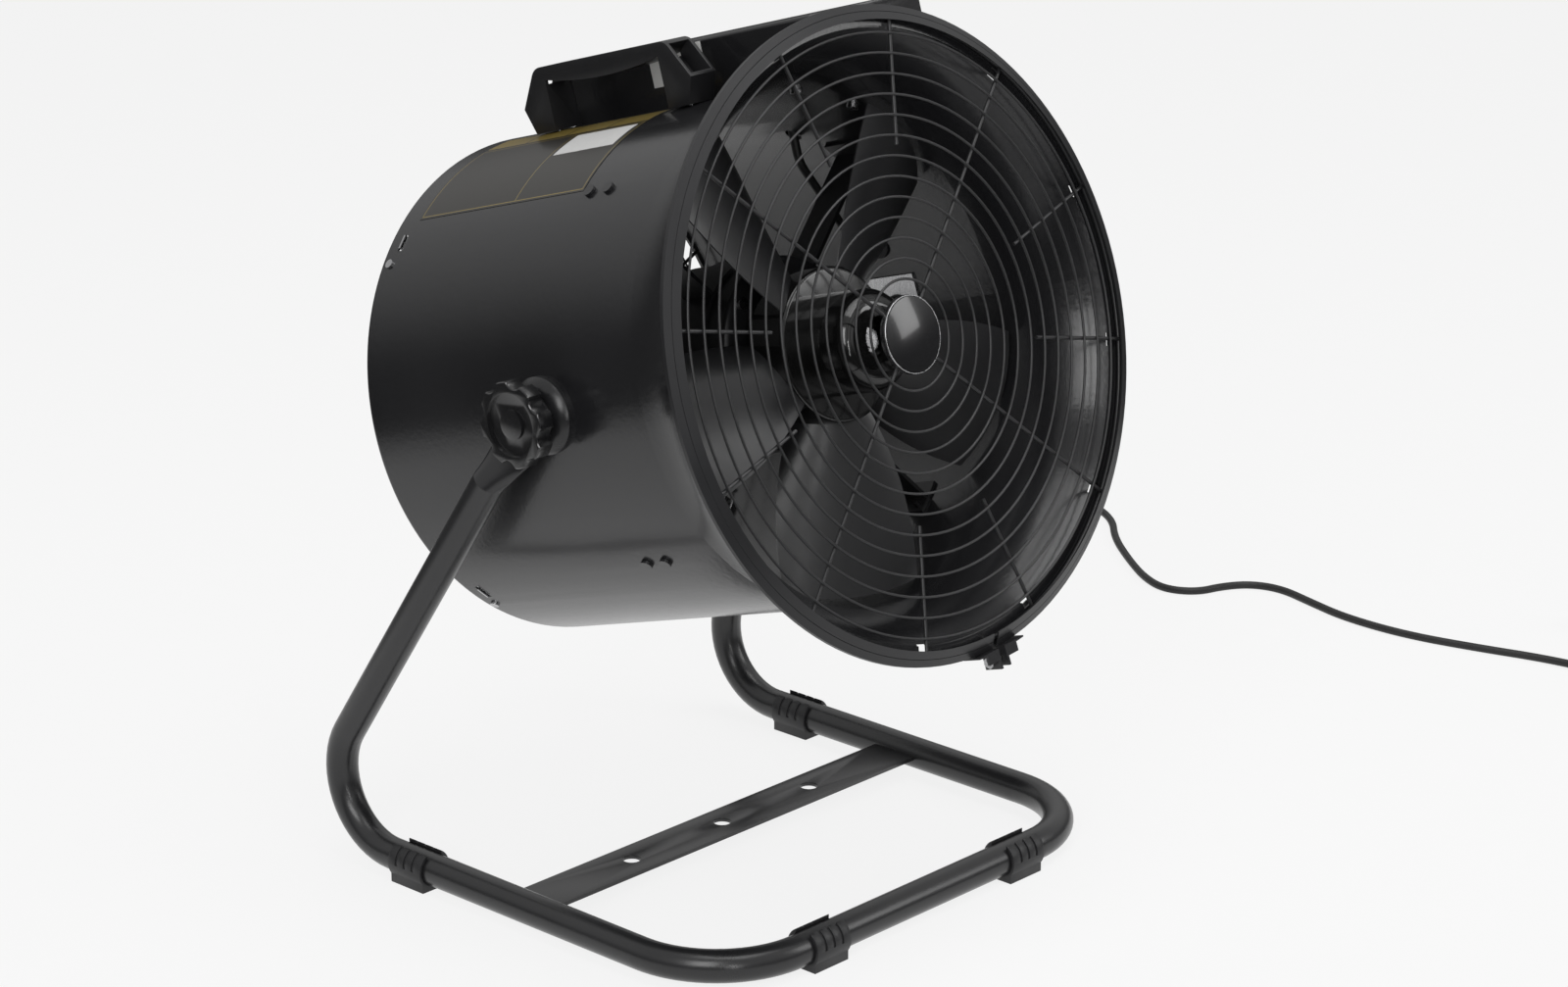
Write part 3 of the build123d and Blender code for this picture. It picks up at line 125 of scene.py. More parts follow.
# The studio: the camera, then each lamp's place, aim, width, height and setting
CAMERA_PLACE = Vector((-2.2168, -2.1171, 1.3232))
CAMERA_AIM = Vector((0.06365, 0.01109, 0.27466))
CAMERA_SENSOR, CAMERA_REACH = 36, 100
LAMP_AIM = (0, 0, 0.4)
EDGE_AIM = (-0.1, -0.1, 0.45)
LAMPS = (
    ("lamp_left", (-2.7, -1.5, 2.1), LAMP_AIM, 1.3, 1.9, "key_watts"),
    ("lamp_top", (0.2, -0.4, 3.0), LAMP_AIM, 2.2, 1.8, "top_watts"),
    ("lamp_edge", (-1.9, -2.9, 1.0), EDGE_AIM, 0.25, 1.5, "edge_watts"),
    ("lamp_right", (2.1, -2.4, 1.7), LAMP_AIM, 1.0, 1.6, "fill_watts"),
)
FLOOR_SIZE = 40
# The floor's share of glow to the camera, and how its mirrored glow falls with distance
FLOOR_GLOW_SHARE = 0.84
FLOOR_MIRRORED, FLOOR_FALL = 0.8, 0.74
FLOOR_FALL_R, FLOOR_FALL_SOFTNESS = 1.15, 0.35
# The mirrored light from all round: low at the horizon, brighter above
AIR_LOW, AIR_RISE = 0.05, 0.55
AIR_EDGE, AIR_SOFTNESS = 0.22, 0.24


class FanPaint(bpy.types.PropertyGroup):
    """Colours and gloss of the painted and moulded surfaces."""
    drum_colour: bpy.props.FloatVectorProperty(
        name="Drum paint", description="Colour of the hammered paint on the drum and its box",
        subtype="COLOR", size=3, min=0, max=1, default=(0.011, 0.011, 0.012))
    drum_rough: bpy.props.FloatProperty(
        name="Drum roughness", description="Roughness of the hammered paint",
        subtype="FACTOR", min=0, max=1, default=0.23)
    peel_size: bpy.props.FloatProperty(
        name="Peel size", description="Width of one dimple of the hammered paint",
        subtype="DISTANCE", unit="LENGTH", default=0.0021)
    peel_depth: bpy.props.FloatProperty(
        name="Peel depth", description="Depth of the dimples of the hammered paint",
        subtype="DISTANCE", unit="LENGTH", default=0.00011)
    plastic_colour: bpy.props.FloatVectorProperty(
        name="Plastic", description="Colour of the black moulded plastics",
        subtype="COLOR", size=3, min=0, max=1, default=(0.013, 0.013, 0.014))
    wire_colour: bpy.props.FloatVectorProperty(
        name="Guard paint", description="Colour of the paint on the guard wires",
        subtype="COLOR", size=3, min=0, max=1, default=(0.018, 0.018, 0.019))


class FanLabels(bpy.types.PropertyGroup):
    """The bare panel on the drum and the blank label on the box."""
    panel_colour: bpy.props.FloatVectorProperty(
        name="Panel", description="Ground colour of the panel on the drum",
        subtype="COLOR", size=3, min=0, max=1, default=(0.020, 0.018, 0.014))
    line_colour: bpy.props.FloatVectorProperty(
        name="Lines", description="Colour of the panel's thin lines and plain band",
        subtype="COLOR", size=3, min=0, max=1, default=(0.26, 0.19, 0.045))
    line_width: bpy.props.FloatProperty(
        name="Line width", description="Width of the panel's thin lines",
        subtype="DISTANCE", unit="LENGTH", default=0.0008)
    thickness: bpy.props.FloatProperty(
        name="Label thickness", description="Thickness of the labels",
        subtype="DISTANCE", unit="LENGTH", default=0.00025)


class FanCord(bpy.types.PropertyGroup):
    """The mains lead."""
    diameter: bpy.props.FloatProperty(
        name="Diameter", description="Diameter of the lead",
        subtype="DISTANCE", unit="LENGTH", default=0.007)
    length: bpy.props.FloatProperty(
        name="Length", description="Length of the lead from the gland to the plug",
        subtype="DISTANCE", unit="LENGTH", default=3.3)
    ribs: bpy.props.IntProperty(
        name="Gland ribs", description="Number of ribs on the gland's tapered sleeve",
        min=2, max=12, default=6)


class FanEdges(bpy.types.PropertyGroup):
    """How far the moulded and cut edges are rounded."""
    moulded: bpy.props.FloatProperty(
        name="Moulded edges", description="Rounding of the plastic pieces' edges",
        subtype="DISTANCE", unit="LENGTH", default=0.0009)
    cut: bpy.props.FloatProperty(
        name="Cut edges", description="Rounding of the painted sheet and bar edges",
        subtype="DISTANCE", unit="LENGTH", default=0.0004)
    badge_rim: bpy.props.FloatProperty(
        name="Badge rim", description="Width of the bright rim round the badge",
        subtype="DISTANCE", unit="LENGTH", default=0.0014)


class FanStudio(bpy.types.PropertyGroup):
    """Camera, lamps and floor."""
    lens: bpy.props.FloatProperty(
        name="Lens", description="Focal length of the camera",
        subtype="DISTANCE_CAMERA", unit="CAMERA", default=97.8)
    key_watts: bpy.props.FloatProperty(
        name="Key lamp", description="Power of the soft lamp at the left",
        subtype="POWER", unit="POWER", default=34)
    top_watts: bpy.props.FloatProperty(
        name="Top lamp", description="Power of the soft lamp overhead",
        subtype="POWER", unit="POWER", default=30)
    fill_watts: bpy.props.FloatProperty(
        name="Fill lamp", description="Power of the soft lamp at the right",
        subtype="POWER", unit="POWER", default=14)
    edge_watts: bpy.props.FloatProperty(
        name="Edge lamp", description="Power of the narrow upright lamp at the front left",
        subtype="POWER", unit="POWER", default=9)
    ambient: bpy.props.FloatProperty(
        name="Ambient", description="Level of the light from all round",
        min=0, max=1, default=0.27)


class Value:
    """A socket that carries a number in a finish's nodes; arithmetic on it adds Math nodes."""

    def __init__(self, finish, socket):
        self.finish = finish
        self.socket = socket

    def math(self, operation, *others, first=None):
        made = self.finish.node("ShaderNodeMath", {"operation": operation})
        given = ([self] if first is None else [first, self]) + list(others)
        for slot, value in zip(made.inputs, given):
            self.finish.feed(slot, value)
        return Value(self.finish, made.outputs[0])

    def __add__(self, other):
        return self.math("ADD", other)

    __radd__ = __add__

    def __sub__(self, other):
        return self.math("SUBTRACT", other)

    def __rsub__(self, other):
        return self.math("SUBTRACT", first=other)

    def __mul__(self, other):
        return self.math("MULTIPLY", other)

    __rmul__ = __mul__

    def above(self, edge, softness):
        """0 below the edge and 1 above it, with a soft step between."""
        made = self.finish.node(
            "ShaderNodeMapRange", {"interpolation_type": "SMOOTHSTEP"},
            {"Value": self, "From Min": edge - softness, "From Max": edge + softness})
        return Value(self.finish, made.outputs[0])

    def between(self, low, high, softness):
        return self.above(low, softness) * (1 - self.above(high, softness))


class Finish:
    """A material under way: its shader, its object coordinates and the nodes added to it."""

    def __init__(self, name, world=None, **constants):
        self.material = world or bpy.data.materials.new(name)
        self.material.use_nodes = True
        self.tree = self.material.node_tree
        self.shader = self.tree.nodes.get("Principled BSDF")
        for socket, value in constants.items():
            self.shader.inputs[socket.replace("_", " ")].default_value = value
        self.coordinates = self.node("ShaderNodeTexCoord")

    def node(self, kind, settings=None, inputs=None):
        made = self.tree.nodes.new(kind)
        for key, value in (settings or {}).items():
            setattr(made, key, value)
        for key, value in (inputs or {}).items():
            self.feed(made.inputs[key], value)
        return made

    def feed(self, socket, value):
        if isinstance(value, Value):
            value = value.socket
        if isinstance(value, bpy.types.NodeSocket):
            self.tree.links.new(value, socket)
        else:
            socket.default_value = value

    def place(self):
        return self.coordinates.outputs["Object"]

    def stretched(self, x, y, z):
        made = self.node("ShaderNodeMapping", None,
                         {"Vector": self.place(), "Scale": (x, y, z)})
        return made.outputs[0]

    def noise(self, size, detail=2.0, vector=None):
        """Soft noise between 0 and 1 whose spots are about a size across."""
        made = self.node("ShaderNodeTexNoise", None,
                         {"Vector": vector or self.place(), "Scale": 1 / size, "Detail": detail})
        return Value(self, made.outputs[0])

    def dimples(self, size):
        made = self.node("ShaderNodeTexVoronoi", {"feature": "SMOOTH_F1"},
                         {"Vector": self.place(), "Scale": 1 / size, "Smoothness": 0.8})
        return Value(self, made.outputs["Distance"])

    def mix(self, amount, low, high):
        """A colour between two others."""
        made = self.node("ShaderNodeMix", {"data_type": "RGBA"})
        self.feed(made.inputs[0], amount)
        for slot, colour in ((6, low), (7, high)):
            self.feed(made.inputs[slot], colour if hasattr(colour, "type") else (*colour, 1))
        return made.outputs[2]

    def relief(self, height, depth):
        made = self.node("ShaderNodeBump", None, {"Height": height, "Distance": depth})
        self.feed(self.shader.inputs["Normal"], made.outputs[0])

    def surface(self, colour=None, rough=None, metal=None, coat=None):
        for socket, value in (("Base Color", colour), ("Roughness", rough),
                              ("Metallic", metal), ("Coat Weight", coat)):
            if value is not None:
                self.feed(self.shader.inputs[socket], value)
        return self.material


def lighter(colour, times):
    return tuple(min(1, part * times) for part in colour)


def hammered_paint(name, colour, rough, size, depth):
    """Black stoving paint with the dimples of a hammered finish."""
    paint = Finish(name, Coat_Weight=0.25, Coat_Roughness=0.12)
    peel = paint.noise(size, detail=1.2) * 0.65 + paint.dimples(size * 1.9) * 0.6
    cloud = paint.noise(0.09, detail=2)
    paint.relief(peel, depth)
    return paint.surface(paint.mix(cloud, colour, lighter(colour, 1.7)),
                         rough + (cloud - 0.5) * 0.08 + (peel - 0.6) * 0.06)


def fine_paint(name, colour, rough, size=0.0009, depth=0.00004, coat=0.1):
    """Black powder paint with a fine even grain."""
    paint = Finish(name, Coat_Weight=coat, Coat_Roughness=0.2)
    grain = paint.noise(size, detail=2)
    cloud = paint.noise(0.05, detail=3)
    paint.relief(grain, depth)
    return paint.surface(paint.mix(cloud, colour, lighter(colour, 1.6)),
                         rough + (cloud - 0.5) * 0.1 + (grain - 0.5) * 0.05)


def moulded_plastic(name, colour, rough, grain=0.0007, depth=0.00003):
    """Moulded plastic with spark-etched grain, rubbed a little smoother in patches."""
    plastic = Finish(name)
    etch = plastic.noise(grain, detail=3)
    rubbed = plastic.noise(0.018, detail=2).above(0.56, softness=0.1)
    plastic.relief(etch, depth)
    return plastic.surface(plastic.mix(etch, colour, lighter(colour, 1.5)),
                           rough - rubbed * 0.05 + (etch - 0.5) * 0.08)


def glossy_plastic(name, colour, rough):
    """Polished black plastic with faint flow marks and dust."""
    plastic = Finish(name, Coat_Weight=0.6, Coat_Roughness=0.06)
    flow = plastic.noise(0.03, detail=2, vector=plastic.stretched(1, 3, 1))
    dust = plastic.noise(0.0012, detail=4).above(0.7, softness=0.04)
    plastic.relief(flow, 0.00006)
    return plastic.surface(plastic.mix(dust * 0.3, colour, lighter(colour, 6)),
                           rough + flow * 0.05 + dust * 0.12)


def plated_steel(name, colour, rough, streak=(60, 900, 60)):
    """Zinc-plated steel with turned streaks and cloudy plating."""
    steel = Finish(name, Metallic=1.0)
    lines = steel.noise(1, detail=2, vector=steel.stretched(*streak))
    cloud = steel.noise(0.006, detail=3)
    steel.relief(lines, 0.00001)
    return steel.surface(steel.mix(cloud, lighter(colour, 0.7), colour),
                         rough + (lines - 0.5) * 0.18 + (cloud - 0.5) * 0.1)


def stacked_steel(name):
    """The stacked sheets of the motor's cores."""
    steel = Finish(name, Metallic=1.0)
    sheets = steel.noise(1, detail=0, vector=steel.stretched(3, 1500, 400))
    steel.relief(sheets, 0.00008)
    return steel.surface(steel.mix(sheets, (0.10, 0.095, 0.09), (0.30, 0.29, 0.28)),
                         0.38 + sheets * 0.2)


def wound_copper(name):
    """Lacquered copper wire laid in turns."""
    copper = Finish(name, Metallic=0.9, Coat_Weight=0.8, Coat_Roughness=0.1)
    made = copper.node("ShaderNodeTexWave", {"bands_direction": "DIAGONAL"},
                       {"Vector": copper.place(), "Scale": 260, "Distortion": 3, "Detail": 2})
    turns = Value(copper, made.outputs[1])
    copper.relief(turns, 0.0004)
    return copper.surface(copper.mix(turns, (0.16, 0.05, 0.02), (0.55, 0.22, 0.09)),
                          0.25 + turns * 0.1)


def circuit_board(name):
    """Green lacquered board with paler copper tracks under the lacquer."""
    board = Finish(name, Coat_Weight=0.5, Coat_Roughness=0.15)
    made = board.node("ShaderNodeTexVoronoi",
                      {"distance": "CHEBYCHEV", "feature": "DISTANCE_TO_EDGE"},
                      {"Vector": board.place(), "Scale": 140})
    tracks = 1 - Value(board, made.outputs[0]).above(0.08, softness=0.02)
    grain = board.noise(0.0006, detail=2)
    board.relief(tracks + grain * 0.2, 0.00006)
    return board.surface(board.mix(tracks, (0.010, 0.075, 0.030), (0.03, 0.16, 0.07)),
                         0.32 + grain * 0.1)


def drum_panel(name, labels):
    """The bare panel's ground, outline, divider and four plain blocks of its band."""
    ink = Finish(name, Coat_Weight=0.3, Coat_Roughness=0.2)
    unturned = TILT.inverted()
    made = ink.node("ShaderNodeMapping", None, {
        "Vector": ink.place(), "Rotation": unturned.to_euler(),
        "Location": -(unturned @ PIVOT)})
    parts = ink.node("ShaderNodeSeparateXYZ", None, {"Vector": made.outputs[0]})
    x, y, h = (Value(ink, parts.outputs[k]) for k in range(3))
    angle = h.math("ARCTAN2", x) * (180 / pi)
    low_y, high_y, low_a, high_a = PANEL
    line, line_deg = labels.line_width, labels.line_width / PANEL_R * 180 / pi
    inset, inset_deg = line * LINE_INSET, line_deg * LINE_INSET
    soft, soft_deg = line * LINE_SOFTNESS, line_deg * LINE_SOFTNESS

    def frame_line(y0, y1, a0, a1):
        outer = y.between(y0, y1, soft) * angle.between(a0, a1, soft_deg)
        inner = (y.between(y0 + line, y1 - line, soft)
                 * angle.between(a0 + line_deg, a1 - line_deg, soft_deg))
        return outer - inner

    band_foot = low_a + PANEL_BAND_DEG
    mask = frame_line(low_y + inset, high_y - inset, band_foot + inset_deg, high_a - inset_deg)
    mask = mask + y.between(PANEL_SPLIT, PANEL_SPLIT + line, soft) * angle.between(
        band_foot + inset_deg, high_a - inset_deg, soft_deg)
    block = (high_y - low_y - (PANEL_BLOCKS + 1) * inset) / PANEL_BLOCKS
    for k in range(PANEL_BLOCKS):
        y0 = low_y + inset + k * (block + inset)
        mask = mask + y.between(y0, y0 + block, soft) * angle.between(
            low_a + inset_deg, band_foot - inset_deg, soft_deg)
    mask = mask.math("MINIMUM", 1)
    speck = ink.noise(0.0005, detail=2)
    ink.relief(speck + mask * 0.6, 0.00002)
    return ink.surface(ink.mix(mask, labels.panel_colour, labels.line_colour),
                       0.34 + speck * 0.1 - mask * 0.05)


def blank_label(name, colour, rough):
    """Coated label stock with a faint paper tooth."""
    paper = Finish(name)
    tooth = paper.noise(0.0004, detail=3)
    cloud = paper.noise(0.01, detail=2)
    paper.relief(tooth, 0.000015)
    return paper.surface(paper.mix(cloud, lighter(colour, 0.93), colour), rough + tooth * 0.1)


def lead_sheath(name, colour):
    """The soft sheath of the mains lead, matt with a faint lay of the cores showing."""
    sheath = Finish(name)
    skin = sheath.noise(0.0008, detail=3)
    lay = sheath.noise(0.011, detail=1)
    sheath.relief(skin + lay * 2.0, 0.00005)
    return sheath.surface(sheath.mix(lay, colour, lighter(colour, 1.9)), 0.42 + skin * 0.14)


finishes = {}

# Screws whose heads were painted over with the drum
PAINTED_OVER = ("bracket_screws",)
NODE_FINISHES = {
    "hammered_paint": ("drum_shell", "control_box", "control_panel"),
    "stand_paint": ("stand_tube", "cross_bar"),
    "guard_paint": ("front_guard", "rear_guard"),
    "band_paint": ("clamp_band",),
    "badge_face": ("guard_badge",),
    "hub_gloss": ("fan_hub",),
    "blade_satin": tuple(f"fan_blade_{k}" for k in range(1, 6)),
    "motor_paint": ("motor_shell", "motor_front_shield", "motor_rear_shield", "motor_bracket"),
    "core_steel": ("stator_core", "rotor_core"),
    "copper_wire": ("stator_windings",),
    "handle_plastic": ("carrying_handle",),
    "knob_plastic": ("tilt_knob_left", "tilt_knob_right", "speed_dial", "fuse_cap"),
    "spacer_plastic": ("pivot_spacer_left", "pivot_spacer_right"),
    "foot_plastic": ("front_feet", "rear_feet"),
    "control_plastic": ("power_switch", "switch_rocker", "speed_control", "fuse_holder"),
    "board_green": ("control_board",),
    "can_metal": ("run_capacitor",),
    "cord_rubber": ("mains_cord", "cord_coil", "inner_lead"),
    "plug_plastic": ("plug_body", "cord_gland"),
    "tie_plastic": ("cord_tie",),
}


def fresh():
    """Object mode with nothing selected, ready for the next primitive."""
    if bpy.context.mode != "OBJECT":
        bpy.ops.object.mode_set(mode="OBJECT")
    bpy.ops.object.select_all(action="DESELECT")


def draw_from(start):
    """Edit mode on a new piece that is one vertex, ready to be drawn out into a line."""
    fresh()
    bpy.ops.mesh.primitive_circle_add(vertices=3, radius=MM, location=(0, 0, 0))
    bpy.ops.object.mode_set(mode="EDIT")
    bpy.ops.mesh.select_mode(type="VERT")
    bpy.ops.mesh.select_all(action="SELECT")
    bpy.ops.mesh.merge(type="CENTER")
    bpy.ops.transform.translate(value=start)


def turned(outline, steps):
    """A piece turned round Z: an outline of (radius, height) is drawn, then spun."""
    draw_from((outline[0][0], 0, outline[0][1]))
    for (r0, h0), (r1, h1) in zip(outline, outline[1:]):
        bpy.ops.mesh.extrude_region_move(
            TRANSFORM_OT_translate={"value": (r1 - r0, 0, h1 - h0)})
    bpy.ops.mesh.select_all(action="SELECT")
    bpy.ops.mesh.spin(steps=steps, angle=2 * pi, center=(0, 0, 0), axis=(0, 0, 1))
    bpy.ops.mesh.select_all(action="SELECT")
    bpy.ops.mesh.remove_doubles(threshold=2e-6)
    bpy.ops.mesh.normals_make_consistent(inside=False)
    bpy.ops.object.mode_set(mode="OBJECT")
    return bpy.context.object


def with_modifier(obj, kind, **settings):
    """Adds a modifier to a piece and applies it."""
    fresh()
    bpy.context.view_layer.objects.active = obj
    obj.select_set(True)
    made = obj.modifiers.new(kind.title(), kind)
    for key, value in settings.items():
        setattr(made, key, value)
    bpy.ops.object.modifier_apply(modifier=made.name)
    return obj


def finished(obj, name, body, material, replaced=(), place=None, smooth_deg=35):
    """Sets a piece's place into its mesh, gives it its finish and lets it ride on its body."""
    fresh()
    bpy.context.view_layer.update()
    obj.data.transform((place or Matrix.Identity(4)) @ obj.matrix_world)
    obj.matrix_world = Matrix.Identity(4)
    obj.name = name
    obj.data.name = name
    obj.data.materials.clear()
    obj.data.materials.append(finishes[material])
    bpy.context.view_layer.objects.active = obj
    obj.select_set(True)
    bpy.ops.object.shade_smooth_by_angle(angle=radians(smooth_deg))
    fresh()
    if body:
        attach(obj, body)
    if replaced:
        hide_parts(*replaced)
    return obj


def rounded_copy(node, width, segments=2, angle_deg=42):
    """A merged copy of a CAD node with its sharp edges rounded."""
    fresh()
    obj = bpy.data.objects.new(node + "_rounded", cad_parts[node].data.copy())
    bpy.context.scene.collection.objects.link(obj)
    bpy.context.view_layer.objects.active = obj
    obj.select_set(True)
    if obj.data.has_custom_normals:
        bpy.ops.mesh.customdata_custom_splitnormals_clear()
    bpy.ops.object.mode_set(mode="EDIT")
    bpy.ops.mesh.select_all(action="SELECT")
    bpy.ops.mesh.remove_doubles(threshold=4e-6)
    bpy.ops.mesh.dissolve_limited(angle_limit=radians(0.4))
    bpy.ops.object.mode_set(mode="OBJECT")
    return with_modifier(obj, "BEVEL", width=width, segments=segments, limit_method="ANGLE",
                         angle_limit=radians(angle_deg), use_clamp_overlap=True)


def drum_sheet(y0, y1, a0, a1, radius, thickness, steps):
    """A thin sheet bent round the drum: an edge along its axis is spun, then thickened out."""
    start = radians(a0)
    draw_from((radius * cos(start), y0, radius * sin(start)))
    bpy.ops.mesh.extrude_region_move(TRANSFORM_OT_translate={"value": (0, y1 - y0, 0)})
    bpy.ops.mesh.select_all(action="SELECT")
    bpy.ops.mesh.spin(steps=steps, angle=radians(a1 - a0), center=(0, 0, 0), axis=(0, 1, 0))
    bpy.ops.object.mode_set(mode="OBJECT")
    obj = bpy.context.object
    end = radians(a1)
    if not any((Vector((v.co.x, v.co.z)) / radius - Vector((cos(end), sin(end)))).length < 0.01
               for v in obj.data.vertices):
        raise RuntimeError("the sheet was bent the wrong way round the drum")
    middle = obj.data.polygons[len(obj.data.polygons) // 2]
    outwards = middle.normal.dot(Vector((middle.center.x, 0, middle.center.z)))
    return with_modifier(obj, "SOLIDIFY", thickness=thickness, offset=1 if outwards > 0 else -1)


class FAN_OT_finishes(bpy.types.Operator):
    """Makes the fan's finishes and puts them on the pieces of the frame"""
    bl_idname = "fan.finishes"
    bl_label = "Finishes"

    def execute(self, context):
        paint = context.scene.fan_paint
        labels = context.scene.fan_labels
        black, plastic = tuple(paint.drum_colour), tuple(paint.plastic_colour)
        made = {
            "hammered_paint": hammered_paint("hammered_paint", black, paint.drum_rough,
                                             paint.peel_size, paint.peel_depth),
            "stand_paint": fine_paint("stand_paint", black, 0.30, size=0.0011,
                                      depth=0.00007, coat=0.3),
            "guard_paint": fine_paint("guard_paint", tuple(paint.wire_colour), 0.36),
            "band_paint": fine_paint("band_paint", lighter(black, 1.2), 0.34),
            "badge_face": glossy_plastic("badge_face", (0.012, 0.012, 0.013), 0.14),
            "hub_gloss": glossy_plastic("hub_gloss", (0.006, 0.006, 0.006), 0.08),
            "blade_satin": fine_paint("blade_satin", (0.016, 0.016, 0.017), 0.33,
                                      size=0.0016, depth=0.00003, coat=0.15),
            "motor_paint": fine_paint("motor_paint", black, 0.38, size=0.0008, depth=0.00005),
            "bright_steel": plated_steel("bright_steel", (0.62, 0.62, 0.63), 0.26),
            "core_steel": stacked_steel("core_steel"),
            "copper_wire": wound_copper("copper_wire"),
            "handle_plastic": moulded_plastic("handle_plastic", plastic, 0.36),
            "knob_plastic": glossy_plastic("knob_plastic", lighter(plastic, 0.8), 0.2),
            "spacer_plastic": moulded_plastic("spacer_plastic", plastic, 0.3),
            "foot_plastic": moulded_plastic("foot_plastic", lighter(plastic, 1.1), 0.44),
            "control_plastic": moulded_plastic("control_plastic", plastic, 0.34),
            "board_green": circuit_board("board_green"),
            "can_metal": plated_steel("can_metal", (0.70, 0.71, 0.72), 0.3,
                                      streak=(400, 20, 400)),
            "cord_rubber": lead_sheath("cord_rubber", (0.012, 0.012, 0.012)),
            "plug_plastic": moulded_plastic("plug_plastic", plastic, 0.46),
            "tie_plastic": moulded_plastic("tie_plastic", (0.30, 0.30, 0.29), 0.4),
            "panel_ink": drum_panel("panel_ink", labels),
            "label_white": blank_label("label_white", (0.78, 0.78, 0.77), 0.42),
        }
        finishes.update(made)
        for node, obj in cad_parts.items():
            chosen = "bright_steel"
            for finish, members in NODE_FINISHES.items():
                if node in members:
                    chosen = finish
            if node in PAINTED_OVER:
                chosen = "hammered_paint"
            obj.data.materials.clear()
            obj.data.materials.append(finishes[chosen])
        return {"FINISHED"}


def coil_points():
    """The coil's half turns, as control points: each bends round from one crossing to the next."""
    centre_x, centre_y = COIL_MIDDLE
    points = []
    height = COIL_LOW
    side = 1
    for k, (start, end) in enumerate(zip(COIL_CROSSINGS, COIL_CROSSINGS[1:])):
        middle, radius = (start + end) / 2, (start - end) / 2
        for step in range(COIL_STEPS):
            part = step / COIL_STEPS
            turn = pi * part
            rise = (COIL_HIGH - COIL_LOW) * part if k == COIL_CLIMB else 0
            across = middle + radius * cos(turn)
            along = side * abs(radius) * sin(turn)
            points.append((centre_x - across, centre_y - along, height + rise))
        if k == COIL_CLIMB:
            height = COIL_HIGH
        side = -side
    across = COIL_CROSSINGS[-1]
    points.append((centre_x - across, centre_y, height))
    points += [(centre_x - x, centre_y - y, z) for x, y, z in PLUG_LEAD]
    return points


class FAN_OT_cord(bpy.types.Operator):
    """Lays the mains lead from its gland to the floor and into its tied coil"""
    bl_idname = "fan.cord"
    bl_label = "Mains lead"

    def execute(self, context):
        cord = context.scene.fan_cord
        route = [Vector(point) * MM for point in CORD_ROUTE]
        route += [Vector(point) * MM for point in coil_points()]
        curve = bpy.data.curves.new("lead_line", "CURVE")
        curve.dimensions = "3D"
        curve.resolution_u = 8
        spline = curve.splines.new("NURBS")
        spline.points.add(len(route) - 1)
        for control, point in zip(spline.points, route):
            control.co = (*point, 1)
        spline.order_u = 3
        spline.use_endpoint_u = True
        line = bpy.data.objects.new("lead_line", curve)
        context.scene.collection.objects.link(line)
        context.view_layer.update()
        path = [tuple(v.co) for v in bpy.data.meshes.new_from_object(line).vertices]
        curve.bevel_depth = cord.diameter / 2
        curve.bevel_resolution = 3
        curve.use_fill_caps = True
        context.view_layer.update()
        graph = context.evaluated_depsgraph_get()
        mesh = bpy.data.meshes.new_from_object(line.evaluated_get(graph))
        bpy.data.objects.remove(line)
        lead = bpy.data.objects.new("mains_lead", mesh)
        context.scene.collection.objects.link(lead)
        finished(lead, "mains_lead", None, "cord_rubber",
                 ("mains_cord", "cord_coil"), smooth_deg=60)
        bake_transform(lead)
        return {"FINISHED"}


class FAN_OT_gland(bpy.types.Operator):
    """Turns the gland's flange and its tapered sleeve of ribs"""
    bl_idname = "fan.gland"
    bl_label = "Cord gland"

    def execute(self, context):
        low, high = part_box("cord_gland")
        ribs = context.scene.fan_cord.ribs
        outline = [(GLAND_BORE_R, GLAND_BORE_FOOT), (GLAND_BORE_R, GLAND_LENGTH),
                   (GLAND_TIP_R, GLAND_LENGTH)]
        for k in range(ribs):
            top, foot, groove = (GLAND_LENGTH - SLEEVE_LENGTH * (k + part) / ribs
                                 for part in (RIB_TOP, RIB_FOOT, GROOVE_END))
            wide = (RIB_SMALL_R + RIB_GROWTH * (k + 0.5) / ribs) * MM
            outline += [(wide, top), (wide, foot), (wide - RIB_DEPTH, foot - RIB_SLOPE),
                        (wide - RIB_DEPTH, groove)]
        outline += [(r * MM, h * MM) for r, h in GLAND_FOOT]
        gland = turned(outline, steps=40)
        to_side = Matrix.Rotation(radians(90), 4, "Y")
        middle = (low + high) / 2
        place = Matrix.Translation((high.x - GLAND_LENGTH, middle.y, middle.z)) @ to_side
        finished(gland, "gland", "drum", "plug_plastic", ("cord_gland",), place)
        return {"FINISHED"}


class FAN_OT_rounded(bpy.types.Operator):
    """Rounds the edges of the handle, knobs, feet, bar, box, panel, switch and rocker"""
    bl_idname = "fan.rounded"
    bl_label = "Rounded pieces"

    def execute(self, context):
        edges = context.scene.fan_edges
        pieces = (
            ("carrying_handle", "handle", "drum", "handle_plastic", edges.moulded * 1.3),
            ("tilt_knob_left", "knob_left_lobed", "knob_left", "knob_plastic", edges.moulded),
            ("tilt_knob_right", "knob_right_lobed", "knob_right", "knob_plastic", edges.moulded),
            ("front_feet", "feet_front", "stand", "foot_plastic", edges.moulded * 0.5),
            ("rear_feet", "feet_rear", "stand", "foot_plastic", edges.moulded * 0.5),
            ("cross_bar", "bar", "stand", "stand_paint", edges.cut),
            ("control_box", "box", "drum", "hammered_paint", edges.cut),
            ("control_panel", "panel", "drum", "hammered_paint", edges.cut),
            ("power_switch", "switch_bezel", "drum", "control_plastic", edges.cut),
            ("switch_rocker", "rocker_bar", "rocker", "control_plastic", edges.cut),
        )
        for node, name, body, finish, width in pieces:
            finished(rounded_copy(node, width), name, body, finish, (node,))
        return {"FINISHED"}


